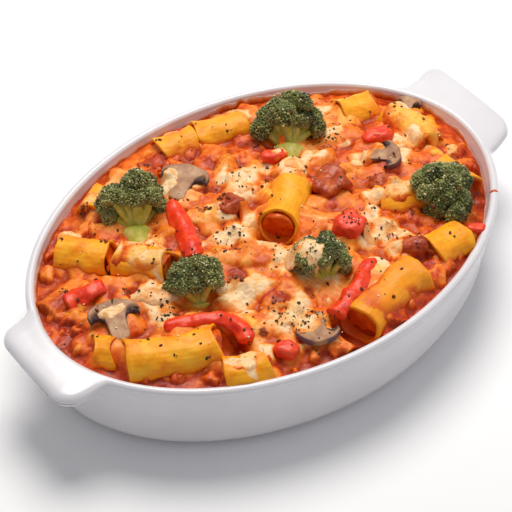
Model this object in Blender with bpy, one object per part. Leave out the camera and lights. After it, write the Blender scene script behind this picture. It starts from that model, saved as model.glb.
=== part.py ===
"""Baked rigatoni with broccoli, red pepper, mushroom and melted cheese in its white oval ceramic dish.

Metres, +Z up. The origin is the centre of the dish's flat base, and +X runs along the dish's long axis.
Every piece is a closed solid of its own. Pieces that touch keep GAP between them: the heap is cut around
the toppings that lie in it, and a topping is cut around the ones that lie on it.
"""
import math

import bmesh
import bpy
from mathutils import Matrix, Vector

MM = 0.001
GAP = 0.4 * MM

# The dish
RIM_HALF_LENGTH = 120 * MM  # to the middle of the rounded lip
RIM_HALF_WIDTH = 86.8 * MM
OVAL_POWER = 1.03  # 1 is a plain ellipse
DISH_HEIGHT = 43.6 * MM
LIP_RADIUS = 2.1 * MM
FLOOR_TOP = 5.5 * MM
FOOT_RADIUS = 12.2 * MM  # rounding between base and outer wall
FOOT_OFFSET = -2.0 * MM  # outer wall, in from the lip's middle, where that rounding ends
INNER_RADIUS = 11 * MM
INNER_OFFSET = -4.6 * MM
DISH_SIDES = 44
# The two lugs, flat flanges level with the rim
LUG_ROOT_HALF_WIDTH = 35.5 * MM
LUG_HALF_WIDTH = 28.4 * MM
LUG_REACH = 138.6 * MM
LUG_SHOULDER = 137.6 * MM
LUG_THICKNESS = 7.4 * MM
LUG_ROUND = 2.6 * MM
LUG_DROP = 0.5 * MM  # lug top below the lip top
LUG_SWAY = 1.8 * MM  # hand-set lugs: each leans a little to its own left, seen from the dish
LUG_SKEW = 0.09

# The heap: heights are above the rim
HEAP_EDGE = -3.5 * MM
HEAP_LEAN = 2.5 * MM  # one long side and end are filled higher than the other
HEAP_CROWN = 8 * MM
HEAP_LOW_SIDE = Vector((0.657, 0.754))
HEAP_BUMP = 1.2 * MM
HEAP_RINGS = (0.88, 0.70, 0.48, 0.24)

# Rigatoni: two ends of the axis in mm (x, y, height above the rim), and the outer radius in mm
TUBE_SIDES = 12
TUBE_WALL = 2.3 * MM
RIGATONI = (
    ((-82, 48, -3), (-69, 28, 0), 9.4),
    ((-67.5, 25, 0), (-54, 2, 3), 9.2),
    ((-56, 60, -4), (-43, 65, -3), 8.0),
    ((-4, 73, -5), (14, 68.5, -4), 9.2),
    ((16, 70, -4), (38, 62, -4), 9.2),
    ((98, 31, -5), (79, 37, -4), 9.2),
    ((-1, -8, 4), (22, 8, 3), 9.2),
    ((-102, -24, -1), (-64, -45, -0.5), 9.8),
    ((-107, -10, -3), (-100, -18, -2), 8.2),
    ((-11, -72.5, -2), (29, -67, -2), 10.2),
    ((44, -62, -2), (62, -63, -3), 9.0),
    ((47, -24, 0), (66, -32, -1), 9.0),
    ((98, 20, -4), (95, -9, -3), 9.0),
    ((-75, -56, -3), (-54, -66, -3), 8.4),
    ((88, -22, -4), (88, -42, -4), 8.6),
)
# Broccoli florets: middle of the crown, point towards which the stalk runs, crown radius, stalk radius and
# length, in mm
BROCCOLI = (
    ((-41, 46, 4), (-57, 22, -8), 15.8, 7.0, 26),
    ((50, 43, 4), (36, 26, -4), 17.2, 7.0, 23),
    ((75, -40, 2), (67, -28, -6), 14.0, 6.0, 18),
    ((-2, -37, 7), (-8, -47, -4), 12.2, 5.5, 17),
    ((-53, -12, 6), (-57, -20, -3), 12.0, 5.0, 16),
)
FLORET_SIDES = 12
# Strips of red pepper: the middle line, width and thickness, in mm
PEPPER_STRIPS = (
    (((-27, 36, 4), (-34, 20, 5.5), (-40, 8, 6.5), (-42, 0, 6)), 8.2, 4.2),
    (((-101, 19, 0), (-93, 18, 2), (-82, 17, 2.5)), 9.0, 4.2),
    (((-79, -22, 4), (-68, -27, 4.5), (-59, -33, 4.5), (-54, -42, 3.5), (-56, -51, 2)), 7.2, 4.0),
    (((18, -52, 3.5), (3, -58, 4), (-12, -62.5, 3.5), (-18, -65, 3)), 8.0, 4.4),
)
# Lumps: name, middle, half sizes along its own axes and heading in degrees, in mm
LUMPS = (
    ("pepper_5", (78, 9, 3), (7.6, 4.6, 3.0), -20),
    ("pepper_6", (22, -31, 8), (7.0, 6.4, 3.6), 10),
    ("pepper_7", (-47, -65, 2), (5.2, 4.2, 3.2), -60),
    ("pepper_8", (71, -64, -2), (5.0, 3.0, 2.6), -50),
    ("pepper_9", (30, 30, 4), (5.4, 3.6, 2.8), -30),
    ("tomato_1", (37, -3, 6), (9.6, 8.4, 6.0), 25),
    ("tomato_2", (-9, 16, 7), (7.6, 6.2, 4.6), 0),
    ("tomato_3", (55, -18, 5), (6.6, 5.2, 3.8), -30),
    ("tomato_4", (38, -56, 3), (6.6, 5.0, 3.6), -30),
)
LUMP_SIDES = 9
# Mushroom slices: middle of the cap, heading of the stalk in degrees, lean of the slice in degrees, half width
# of the cap in mm
MUSHROOMS = (
    ((-14, 43, 5), 212, 8, 12.0),
    ((-92, -4.5, 4), 247, 8, 12.0),
    ((-30, -66.5, 3), 56, 2, 10.0),
    ((69, -5, 4), 139, 4, 9.5),
    ((109, 20, -3), 215, 10, 6.5),
)
MUSHROOM_THICKNESS = 3.6 * MM
# Pools of melted cheese: middle and mean radius in mm, and the turn of the uneven outline in radians
CHEESE_POOLS = (
    ((24, 20), 11, 0.3),
    ((42, -37), 9, 1.1),
    ((90, -1), 9, 2.0),
    ((-74, -9), 8, 0.6),
    ((-28, -35), 14, 1.7),
)
CHEESE_SIDES = 14
CHEESE_DEPTH = 2.6 * MM
CHEESE_RISE = 2.0 * MM


def clear_scene():
    for found in list(bpy.data.objects):
        bpy.data.objects.remove(found, do_unlink=True)


def material(name, colour, roughness):
    """A plain Principled finish in one colour."""
    made = bpy.data.materials.new(name)
    made.use_nodes = True
    shader = made.node_tree.nodes["Principled BSDF"]
    shader.inputs["Base Color"].default_value = (*colour, 1.0)
    shader.inputs["Roughness"].default_value = roughness
    shader.inputs["Metallic"].default_value = 0.0
    return made


def object_from(name, mesh_data, finish):
    """A named object from a bmesh, its faces cut into triangles the same way each time and pointing outwards."""
    bmesh.ops.recalc_face_normals(mesh_data, faces=mesh_data.faces[:])
    bmesh.ops.triangulate(mesh_data, faces=mesh_data.faces[:], quad_method="FIXED", ngon_method="EAR_CLIP")
    mesh = bpy.data.meshes.new(name)
    mesh_data.to_mesh(mesh)
    mesh_data.free()
    mesh.shade_smooth()
    mesh.set_sharp_from_angle(angle=math.radians(40))
    if finish:
        mesh.materials.append(finish)
    made = bpy.data.objects.new(name, mesh)
    bpy.context.scene.collection.objects.link(made)
    return made


def as_cutter(made):
    """Marks an object as a cutting tool that is no part of the model."""
    made.hide_render = True
    made.display_type = "WIRE"
    return made


def lofted(name, rings, finish, round_trip=False):
    """A closed skin through rings of equally many points: capped at both ends, or joined last to first."""
    mesh_data = bmesh.new()
    loops = [[mesh_data.verts.new(point) for point in ring] for ring in rings]
    pairs = list(zip(loops, loops[1:]))
    if round_trip:
        pairs.append((loops[-1], loops[0]))
    else:
        mesh_data.faces.new(loops[0])
        mesh_data.faces.new(loops[-1])
    for lower, upper in pairs:
        for i, vertex in enumerate(lower):
            after = (i + 1) % len(lower)
            mesh_data.faces.new((vertex, lower[after], upper[after], upper[i]))
    return object_from(name, mesh_data, finish)


def boolean(target, tool, operation):
    cut = target.modifiers.new(f"{operation.lower()} {tool.name}", "BOOLEAN")
    cut.operation = operation
    cut.object = tool
    cut.solver = "EXACT"


# ---------------------------------------------------------------- the dish

def oval_point(angle, offset, share=1.0):
    """A point of the oval that lies offset outside the lip's middle line, drawn in towards the centre."""
    along, across = math.cos(angle), math.sin(angle)
    x = (RIM_HALF_LENGTH + offset) * math.copysign(abs(along) ** OVAL_POWER, along)
    y = (RIM_HALF_WIDTH + offset) * math.copysign(abs(across) ** OVAL_POWER, across)
    return x * share, y * share


def oval_ring(offset, z):
    ring = []
    for i in range(DISH_SIDES):
        x, y = oval_point(2 * math.pi * i / DISH_SIDES, offset)
        ring.append((x, y, z))
    return ring


def arc(centre, radius, start, end, steps):
    """Points (offset, z) on a circular arc, its angles in degrees."""
    points = []
    for i in range(steps + 1):
        angle = math.radians(start + (end - start) * i / steps)
        points.append((centre[0] + radius * math.cos(angle), centre[1] + radius * math.sin(angle)))
    return points


def outer_profile():
    foot = arc((FOOT_OFFSET - FOOT_RADIUS, FOOT_RADIUS), FOOT_RADIUS, -90, 0, 3)
    lip = arc((0, DISH_HEIGHT - LIP_RADIUS), LIP_RADIUS, -20, 180, 4)
    return foot + [(-0.2 * MM, 0.64 * DISH_HEIGHT), (0.6 * MM, 0.86 * DISH_HEIGHT)] + lip


def inner_profile():
    """The dish's inside from just under the lip down to the floor."""
    wall = [(-3.4 * MM, DISH_HEIGHT - 7.5 * MM)]
    corner = arc((INNER_OFFSET - INNER_RADIUS, FLOOR_TOP + INNER_RADIUS), INNER_RADIUS, 0, -90, 2)
    return wall + corner


def inner_offset(z):
    """How far outside or inside the lip's middle line the dish's inner wall lies at a height."""
    points = [(-LIP_RADIUS, DISH_HEIGHT - LIP_RADIUS)] + inner_profile()
    if z >= points[0][1]:
        return points[0][0]
    for (upper_offset, upper_z), (lower_offset, lower_z) in zip(points, points[1:]):
        if z >= lower_z:
            share = (upper_z - z) / (upper_z - lower_z)
            return upper_offset + (lower_offset - upper_offset) * share
    return points[-1][0]


def curve_through(start, pull, end, steps):
    """Points on a quadratic Bezier curve, without its last."""
    points = []
    for i in range(steps):
        t = i / steps
        points.append(tuple((1 - t) ** 2 * a + 2 * t * (1 - t) * b + t * t * c
                            for a, b, c in zip(start, pull, end)))
    return points


def lug_outline():
    """Half a lug's outline from the rim to the middle of its outer edge, then mirrored, closed inside the wall."""
    side_end = (LUG_REACH - 9 * MM, LUG_HALF_WIDTH)
    shoulder = (LUG_SHOULDER, 0.66 * LUG_HALF_WIDTH)
    half = curve_through((RIM_HALF_LENGTH - 11 * MM, LUG_ROOT_HALF_WIDTH),
                         (RIM_HALF_LENGTH - 4 * MM, LUG_HALF_WIDTH + 0.6 * MM), side_end, 4)
    half += curve_through(side_end, (LUG_SHOULDER - 0.6 * MM, LUG_HALF_WIDTH), shoulder, 4)
    half += curve_through(shoulder, (LUG_REACH, 0.34 * LUG_HALF_WIDTH), (LUG_REACH, 0), 3)
    outline = half + [(LUG_REACH, 0)] + [(x, -y) for x, y in reversed(half)]
    swayed = []
    for x, y in outline:
        share = max(0.0, (x - RIM_HALF_LENGTH) / (LUG_REACH - RIM_HALF_LENGTH))
        swayed.append((x + LUG_SKEW * y * share, y + LUG_SWAY * share))
    root = math.asin(LUG_ROOT_HALF_WIDTH / RIM_HALF_WIDTH)
    for i in range(1, 6):
        angle = -root + 2 * root * i / 6
        swayed.append(oval_point(angle, -1.2 * MM))
    return swayed


def lug(name, side):
    mesh_data = bmesh.new()
    top = DISH_HEIGHT - LUG_DROP
    flat = [mesh_data.verts.new((side * x, side * y, top)) for x, y in lug_outline()]
    face = mesh_data.faces.new(flat)
    sunk = bmesh.ops.extrude_face_region(mesh_data, geom=[face])
    moved = [piece for piece in sunk["geom"] if isinstance(piece, bmesh.types.BMVert)]
    bmesh.ops.translate(mesh_data, verts=moved, vec=(0, 0, -LUG_THICKNESS))
    outside = RIM_HALF_LENGTH - 4 * MM
    edges = [edge for edge in mesh_data.edges
             if abs(edge.verts[0].co.z - edge.verts[1].co.z) < GAP
             and min(abs(vertex.co.x) for vertex in edge.verts) > outside]
    bmesh.ops.bevel(mesh_data, geom=edges, offset=LUG_ROUND, segments=3, profile=0.5, affect="EDGES")
    return as_cutter(object_from(name, mesh_data, None))


def baking_dish(finish):
    rings = [oval_ring(offset, z) for offset, z in outer_profile() + inner_profile()]
    dish = lofted("baking_dish", rings, finish)
    for side in (-1, 1):
        boolean(dish, lug(f"lug_{side}", side), "UNION")
    return dish


def food_space():
    """The room inside the dish, less the gap, carried straight up past the rim."""
    rings = [oval_ring(offset - GAP, z + GAP) for offset, z in reversed(inner_profile())]
    rings.append(oval_ring(-LIP_RADIUS - GAP, DISH_HEIGHT - LIP_RADIUS))
    rings.append(oval_ring(-LIP_RADIUS - GAP, 2 * DISH_HEIGHT))
    return as_cutter(lofted("food_space", rings, None))


# ---------------------------------------------------------------- the heap

def heap_height(x, y):
    """Height of the heap's top over the base: an oval mound that leans, with slow waves."""
    across = Vector((x / (RIM_HALF_LENGTH + INNER_OFFSET), y / (RIM_HALF_WIDTH + INNER_OFFSET)))
    mound = HEAP_CROWN * max(0.0, 1 - across.length_squared)
    lean = -HEAP_LEAN * max(-1.0, min(1.0, across.dot(HEAP_LOW_SIDE)))
    waves = HEAP_BUMP * math.sin(x / (9 * MM) + 1) * math.sin(y / (8 * MM) + 2)
    return DISH_HEIGHT + HEAP_EDGE + mound + lean + waves * max(0.0, 1 - across.length_squared ** 2)


def pasta_bed(finish):
    rings = []
    for offset, z in reversed(inner_profile()):
        rings.append(oval_ring(offset - GAP, z + GAP))
    edge = []
    for i in range(DISH_SIDES):
        angle = 2 * math.pi * i / DISH_SIDES
        z = heap_height(*oval_point(angle, INNER_OFFSET))
        x, y = oval_point(angle, inner_offset(z) - GAP)
        edge.append((x, y, z))
    rings.append(edge)
    for share in HEAP_RINGS:
        ring = []
        for i in range(DISH_SIDES):
            x, y = oval_point(2 * math.pi * i / DISH_SIDES, INNER_OFFSET, share)
            ring.append((x, y, heap_height(x, y)))
        rings.append(ring)
    return lofted("pasta_bed", rings, finish)


# ---------------------------------------------------------------- pasta, vegetables and cheese

def place(point):
    """A point given in mm, its height counted from the rim, in the model's own metres."""
    return Vector((point[0] * MM, point[1] * MM, point[2] * MM + DISH_HEIGHT))


def frame_along(direction):
    """Two unit vectors square to a direction, the second as near to upright as it can be."""
    side = direction.cross(Vector((0, 0, 1)))
    if side.length < 1e-6:
        side = Vector((1, 0, 0))
    side.normalize()
    return side, side.cross(direction).normalized()


def tube_rings(start, end, radius, longer):
    """Two rings round an axis, at its ends or a little past them, cut a little askew."""
    axis = (end - start).normalized()
    side, up = frame_along(axis)
    rings = []
    for station in (0, 1):
        centre = start.lerp(end, station) + axis * longer * (2 * station - 1)
        ring = []
        for i in range(TUBE_SIDES):
            angle = 2 * math.pi * i / TUBE_SIDES
            askew = axis * 0.7 * MM * math.cos(angle + 6 * station)
            ring.append(centre + askew + radius * (side * math.cos(angle) + up * math.sin(angle)))
        rings.append(ring)
    return rings


def rigatoni(name, row, finish):
    start, end, radius = place(row[0]), place(row[1]), row[2] * MM
    outside = tube_rings(start, end, radius, 0)
    inside = tube_rings(start, end, radius - TUBE_WALL, 0)
    tube = lofted(name, outside + inside[::-1], finish, round_trip=True)
    plug = lofted(f"cut_{name}", tube_rings(start, end, radius + GAP, GAP), None)
    return tube, as_cutter(plug)


def floret_rings(crown, stalk, length, turn):
    """A domed crown with rounded lobes that narrows under its edge into a round stalk, about the crown's middle."""
    rings = []
    for degrees in (10, 36, 62, 88, 112, 134, 154, 172):
        polar = math.radians(degrees)
        ring = []
        for i in range(FLORET_SIDES):
            angle = 2 * math.pi * i / FLORET_SIDES
            lobes = 1 + 0.10 * math.sin(5 * angle + turn) * math.sin(polar)
            lobes += 0.06 * math.cos(9 * polar + turn) * math.cos(3 * angle)
            if degrees < 120:
                reach = crown * lobes * (0.80 + 0.20 * math.sin(polar))
            else:
                reach = min(stalk / math.sin(polar), length / -math.cos(polar))
            ring.append(Vector((reach * math.sin(polar) * math.cos(angle),
                                reach * math.sin(polar) * math.sin(angle), reach * math.cos(polar))))
        rings.append(ring)
    return rings


def broccoli(name, row, finish, turn):
    middle, foot = place(row[0]), place(row[1])
    crown, stalk, length = (size * MM for size in row[2:])
    up = (middle - foot).normalized()
    turned = up.to_track_quat("Z", "Y").to_matrix().to_4x4()
    pose = Matrix.Translation(middle) @ turned
    shapes = []
    for label, gap in ((name, 0), (f"cut_{name}", GAP)):
        rings = floret_rings(crown + gap, stalk + gap, length + gap, turn)
        posed = [[pose @ point for point in ring] for ring in rings]
        shapes.append(lofted(label, posed, None if gap else finish))
    return shapes[0], as_cutter(shapes[1])


def strip_rings(points, width, thickness, gap):
    """Eight-sided cross-sections along the strip's middle line, narrower at its two ends."""
    rings = []
    last = len(points) - 1
    for i, point in enumerate(points):
        before, after = points[max(i - 1, 0)], points[min(i + 1, last)]
        axis = (after - before).normalized()
        side, up = frame_along(axis)
        share = 0.8 if i in (0, last) else 1.0
        centre = point + axis * gap * ((i == last) - (i == 0))
        ring = []
        for corner in range(8):
            angle = 2 * math.pi * (corner + 0.5) / 8
            across = (width * share / 2 + gap) * math.copysign(abs(math.cos(angle)) ** 0.6, math.cos(angle))
            rise = (thickness * share / 2 + gap) * math.copysign(abs(math.sin(angle)) ** 0.6, math.sin(angle))
            ring.append(centre + side * across + up * rise)
        rings.append(ring)
    return rings


def pepper_strip(name, row, finish):
    points = [place(point) for point in row[0]]
    strip = lofted(name, strip_rings(points, row[1] * MM, row[2] * MM, 0), finish)
    cutter = lofted(f"cut_{name}", strip_rings(points, row[1] * MM, row[2] * MM, GAP), None)
    return strip, as_cutter(cutter)


def lump_rings(middle, halves, heading, gap, turn):
    """A rounded, slightly dented block: a superellipsoid with shallow waves."""
    rings = []
    spin = Matrix.Rotation(math.radians(heading), 3, "Z")
    for degrees in (18, 62, 90, 118, 162):
        polar = math.radians(degrees)
        ring = []
        for i in range(LUMP_SIDES):
            angle = 2 * math.pi * i / LUMP_SIDES
            along, across = math.cos(angle), math.sin(angle)
            flat = math.sin(polar) ** 0.7 * (1 + 0.07 * math.sin(3 * angle + turn))
            spot = Vector(((halves[0] + gap) * flat * math.copysign(abs(along) ** 0.75, along),
                           (halves[1] + gap) * flat * math.copysign(abs(across) ** 0.75, across),
                           (halves[2] + gap) * math.copysign(abs(math.cos(polar)) ** 0.7, math.cos(polar))))
            ring.append(middle + spin @ spot)
        rings.append(ring)
    return rings


def lump(name, middle, halves, heading, finish, turn):
    centre = place(middle)
    sizes = [half * MM for half in halves]
    block = lofted(name, lump_rings(centre, sizes, heading, 0, turn), finish)
    cutter = lofted(f"cut_{name}", lump_rings(centre, sizes, heading, GAP, turn), None)
    return block, as_cutter(cutter)


def mushroom_outline(half_width):
    """A lengthwise slice: domed cap, gill hollows under its edge and a stalk, in half widths of the cap."""
    cap = [(math.cos(math.radians(a)), 0.82 * math.sin(math.radians(a))) for a in range(0, 181, 20)]
    under_left = [(-0.82, -0.24), (-0.42, -0.20), (-0.32, -0.34), (-0.35, -0.75), (-0.38, -1.08)]
    under_right = [(-u, v) for u, v in reversed(under_left)]
    return [(u * half_width, v * half_width) for u, v in cap + under_left + under_right]


def mushroom_slice(name, row, finish):
    middle, heading, lean, half_width = place(row[0]), math.radians(row[1]), math.radians(row[2]), row[3] * MM
    stalk = Vector((math.cos(heading), math.sin(heading), 0))
    stalk = (stalk * math.cos(lean) - Vector((0, 0, math.sin(lean)))).normalized()
    side = stalk.cross(Vector((0, 0, 1))).normalized()
    normal = side.cross(stalk).normalized()
    shapes = []
    for label, gap in ((name, 0), (f"cut_{name}", GAP)):
        grow = 1 + 2 * gap / half_width
        rings = []
        for level in (-1, 1):
            rise = normal * level * (MUSHROOM_THICKNESS / 2 + gap)
            rings.append([middle + side * u * grow - stalk * v * grow + rise
                          for u, v in mushroom_outline(half_width)])
        shapes.append(lofted(label, rings, None if gap else finish))
    return shapes[0], as_cutter(shapes[1])


def cheese_rings(centre, radius, turn, gap):
    """A low dome with an uneven outline that follows the heap, set a little into it."""
    rings = []
    for share, rise in ((1.0, -CHEESE_DEPTH - gap), (1.0, 0.3 * CHEESE_RISE), (0.6, CHEESE_RISE)):
        ring = []
        for i in range(CHEESE_SIDES):
            angle = 2 * math.pi * i / CHEESE_SIDES
            reach = radius * share * (1 + 0.16 * math.sin(3 * angle + turn) + 0.08 * math.sin(5 * angle)) + gap
            x, y = centre[0] + reach * math.cos(angle), centre[1] + reach * math.sin(angle)
            ring.append((x, y, heap_height(x, y) + rise + (gap if rise > 0 else 0)))
        rings.append(ring)
    return rings


def cheese_pool(name, row, finish):
    centre = (row[0][0] * MM, row[0][1] * MM)
    pool = lofted(name, cheese_rings(centre, row[1] * MM, row[2], 0), finish)
    cutter = lofted(f"cut_{name}", cheese_rings(centre, row[1] * MM, row[2], GAP), None)
    return pool, as_cutter(cutter)


# ---------------------------------------------------------------- putting it together

def box_of(made):
    xs, ys, zs = zip(*(vertex.co for vertex in made.data.vertices))
    return (min(xs), min(ys), min(zs)), (max(xs), max(ys), max(zs))


def near_each_other(first, second):
    (low_a, high_a), (low_b, high_b) = box_of(first), box_of(second)
    return all(low_a[k] < high_b[k] and low_b[k] < high_a[k] for k in range(3))


def crosses_wall(made):
    """Whether a piece reaches into the dish's wall or past it."""
    for vertex in made.data.vertices:
        offset = inner_offset(vertex.co.z) - GAP
        along = abs(vertex.co.x) / (RIM_HALF_LENGTH + offset)
        across = abs(vertex.co.y) / (RIM_HALF_WIDTH + offset)
        if along * along + across * across > 0.97:
            return True
    return False


def main():
    clear_scene()
    ceramic = material("glazed white stoneware", (0.80, 0.78, 0.80), 0.18)
    heap = material("pasta in baked tomato sauce", (0.55, 0.14, 0.03), 0.4)
    pasta = material("cooked pasta", (0.90, 0.40, 0.04), 0.35)
    green = material("baked broccoli", (0.08, 0.14, 0.03), 0.6)
    red = material("roast red pepper", (0.80, 0.03, 0.01), 0.3)
    tomato = material("baked tomato", (0.55, 0.06, 0.03), 0.35)
    brown = material("baked mushroom", (0.42, 0.27, 0.17), 0.5)
    cheese = material("melted cheese", (0.88, 0.60, 0.30), 0.35)

    # From what lies on top to what lies below: a piece is cut around every one before it.
    placed = []
    for i, row in enumerate(PEPPER_STRIPS, 1):
        placed.append(pepper_strip(f"pepper_{i}", row, red))
    for i, (name, middle, halves, heading) in enumerate(LUMPS):
        finish = tomato if name.startswith("tomato") else red
        placed.append(lump(name, middle, halves, heading, finish, i))
    for i, row in enumerate(MUSHROOMS, 1):
        placed.append(mushroom_slice(f"mushroom_{i}", row, brown))
    for i, row in enumerate(BROCCOLI, 1):
        placed.append(broccoli(f"broccoli_{i}", row, green, i))
    for i, row in enumerate(RIGATONI, 1):
        placed.append(rigatoni(f"rigatoni_{i:02d}", row, pasta))
    for i, row in enumerate(CHEESE_POOLS, 1):
        placed.append(cheese_pool(f"cheese_{i}", row, cheese))

    baking_dish(ceramic)
    bed = pasta_bed(heap)
    space = food_space()
    for i, (piece, _) in enumerate(placed):
        for _, cutter in placed[:i]:
            if near_each_other(piece, cutter):
                boolean(piece, cutter, "DIFFERENCE")
        if crosses_wall(piece):
            boolean(piece, space, "INTERSECT")
    for _, cutter in placed:
        boolean(bed, cutter, "DIFFERENCE")


main()
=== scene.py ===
import math

import bpy
import numpy as np
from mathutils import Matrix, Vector


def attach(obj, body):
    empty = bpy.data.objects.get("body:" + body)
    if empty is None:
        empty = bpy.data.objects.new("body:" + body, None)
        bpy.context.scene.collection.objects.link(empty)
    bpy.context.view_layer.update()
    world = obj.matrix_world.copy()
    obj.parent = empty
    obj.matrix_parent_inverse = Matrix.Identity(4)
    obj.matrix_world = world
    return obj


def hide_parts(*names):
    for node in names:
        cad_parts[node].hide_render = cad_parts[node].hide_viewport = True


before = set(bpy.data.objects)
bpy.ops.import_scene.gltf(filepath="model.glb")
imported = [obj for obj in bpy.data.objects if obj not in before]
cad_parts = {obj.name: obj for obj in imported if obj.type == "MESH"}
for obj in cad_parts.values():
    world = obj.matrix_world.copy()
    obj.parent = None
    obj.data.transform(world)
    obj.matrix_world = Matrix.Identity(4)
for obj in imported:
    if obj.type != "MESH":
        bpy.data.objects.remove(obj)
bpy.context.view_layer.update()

# Baked rigatoni with broccoli, red pepper, mushroom and melted cheese in a white oval dish.
# Shapes are worked out in millimetres on the model's own axes; heights in the tables count from the rim.

MM = 0.001
TAU = 2 * math.pi

# ---- sizes, in mm

# The dish: height of its rim, the rim's half axes and how square they are, the lip's radius, the floor's top
RIM = 43.6
RIM_LONG = 120.0
RIM_WIDE = 86.8
OVAL_POWER = 1.03
LIP = 2.1
FLOOR = 5.5

# The heap: its edge from the rim, its lean and the direction of that, the dome's height and half axes, waves
HEAP_EDGE = -3.5
HEAP_LEAN = 2.5
HEAP_WAY = (0.657, 0.754)
HEAP_CROWN = 8.0
HEAP_LONG = 115.4
HEAP_WIDE = 82.2
HEAP_BUMP = 1.2

# The lugs: reach from the middle, half width, corners, thickness, edges, fillets to the lip and to the wall
LUG_REACH = 137.4
LUG_HALF = 28.9
LUG_CORNER = 9.5
LUG_THICK = 7.0
LUG_EDGE = 3.4
LUG_FILLET = 5.0
LUG_ROOT = 4.5
# Offset from the rim's oval and height: where the lugs leave the wall, and rings down the inner wall
WALL_SEAM = (-0.45, 25.0)
INNER_WALL = ((-3.4, 33.0), (-4.7, 17.0), (-9.0, 9.0), (-16.0, 5.7))

# A tube's wall and its ribs, a slice of mushroom
TUBE_WALL = 2.1
TUBE_RIBS = 26
MUSHROOM_THICK = 3.6

# Counts: pieces buried in the heap, bits in the sauce, rows and columns of meshes
BURIED_TUBES = 46
BURIED_LUMPS = 330
SAUCE_BITS = 48
DISH_COLUMNS = 720
HEAP_ROWS = 345
HEAP_COLUMNS = 262
SKIN_ROWS = 30
BORE_ROWS = 16
VEIL_RINGS = 30
VEIL_SPOKES = 120
BIT_ROWS = 8
BIT_COLUMNS = 12

# Rigatoni: the two ends of the axis, outer radius, sideways bend
RIGATONI = (
    ((-82, 48, -3), (-69, 28, 0), 9.6, 0.6),
    ((-67.5, 25, 0), (-54, 2, 3), 9.2, -0.8),
    ((-56, 60, -4), (-43, 65, -3), 8.0, 0.4),
    ((-4, 73, -5), (14, 68.5, -4), 9.2, 0.8),
    ((16, 70, -4), (38, 62, -4), 9.2, 0.7),
    ((98, 31, -5), (79, 37, -4), 9.2, -0.4),
    ((-1, -8, 4), (22, 8, 3), 9.2, 0.5),
    ((-102, -24, -1), (-64, -45, -0.5), 9.8, 1.4),
    ((-107, -10, -3), (-100, -18, -2), 8.2, 0.2),
    ((-11, -72.5, -2), (29, -67, -2), 10.2, -1.2),
    ((44, -62, -2), (62, -63, -3), 9.0, -0.6),
    ((47, -24, 0), (66, -32, -1), 9.0, 0.5),
    ((98, 20, -4), (95, -9, -3), 9.0, 0.6),
    ((-75, -56, -3), (-54, -66, -3), 8.4, 0.5),
    ((88, -22, -4), (88, -42, -4), 8.6, 0.4),
)
# Cuts that lean back so that the mouth looks up a little: mm at the first end and at the second
SLANTS = {
    2: (0, 3.0), 4: (0, 1.5), 6: (3.5, 0), 7: (2.5, 0), 8: (0, 4.5), 9: (0, 2.5), 10: (2.0, 0), 12: (0, 2.5),
    14: (0, 3.5),
}
# How far cheese clings to the tubes
RIGATONI_CHEESE = {
    1: 0.5, 2: 1.0, 3: 0.7, 4: 0.35, 5: 0.35, 6: 0.3, 7: 0.45, 8: 0.2, 9: 0.8, 10: 0.25, 11: 0.2, 12: 0.6,
    13: 1.2, 14: 0.9, 15: 0.7,
}
# Tubes stained by sauce more than the rest
STAINED = {10: 0.5, 9: 0.3, 15: 0.4, 12: 0.4, 4: 0.3, 1: 0.2, 2: 0.3, 8: 0.15, 5: 0.3}
# Tubes whose mouths the food leaves open: mouth, a point further along the tube, radius
MOUTHS = (
    ((-1, -8, 4), (22, 8, 3), 9.2), ((-54, 2, 3), (-67.5, 25, 0), 9.2),
    ((-64, -45, -0.5), (-102, -24, -1), 9.8), ((-11, -72.5, -2), (29, -67, -2), 10.2),
    ((-69, 28, 0), (-82, 48, -3), 9.4),
)
# Broccoli: middle of the crown, point the stalk runs towards, crown radius, stalk radius, stalk length
BROCCOLI = (
    ((-41, 46, 4), (-57, 22, -8), 15.8, 7.0, 26),
    ((49.5, 42, 3.6), (36, 26, -4), 15.9, 7.0, 23),
    ((71.5, -41, 2.4), (66, -28, -6), 14.8, 6.0, 19),
    ((-3, -39, 7), (-9.5, -50, -4), 12.2, 5.5, 17),
    ((-53, -12, 6), (-57, -20, -3), 12.0, 5.0, 16),
)
# Red pepper strips: middle line, width, thickness
PEPPER_STRIPS = (
    (((-27, 36, 4), (-34, 20, 5.5), (-40, 8, 6.5), (-42, 0, 6)), 8.2, 4.2),
    (((-101, 19, 0), (-93, 18, 2), (-82, 17, 2.5)), 9.0, 4.2),
    (((-79, -22, 4), (-68, -27, 4.5), (-59, -33, 4.5), (-54, -42, 3.5), (-56, -51, 2)), 7.2, 4.0),
    (((18, -52, 3.5), (3, -58, 4), (-12, -62.5, 3.5), (-18, -65, 3)), 8.0, 4.4),
)
# Pieces of pepper and tomato: node, middle, half sizes, heading in degrees
PEPPER_PIECES = (
    ("pepper_5", (78, 9, 3), (7.6, 4.6, 3.0), -20),
    ("pepper_6", (22, -31, 8), (7.0, 6.4, 3.6), 10),
    ("pepper_7", (-47, -65, 2), (5.2, 4.2, 3.2), -60),
    ("pepper_8", (71, -64, -2), (5.0, 3.0, 2.6), -50),
    ("pepper_9", (30, 30, 4), (5.4, 3.6, 2.8), -30),
)
TOMATO_PIECES = (
    ("tomato_1", (37, -3, 5.4), (9.8, 8.0, 5.0), 25),
    ("tomato_2", (-9, 16, 6.4), (7.8, 6.2, 3.9), 0),
    ("tomato_3", (55, -18, 5), (6.6, 5.2, 3.8), -30),
    ("tomato_4", (38, -56, 3), (6.6, 5.0, 3.6), -30),
)
# Mushroom slices: middle of the cap, heading of the stalk and lean of the slice in degrees, half width
MUSHROOMS = (
    ((-14, 43, 5), 212, 8, 12.0),
    ((-92, -4.5, 4), 247, 8, 12.0),
    ((-30, -66.5, 3), 56, 2, 10.0),
    ((69, -5, 4), 139, 4, 9.5),
    ((109, 20, -3), 215, 10, 6.5),
)
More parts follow.
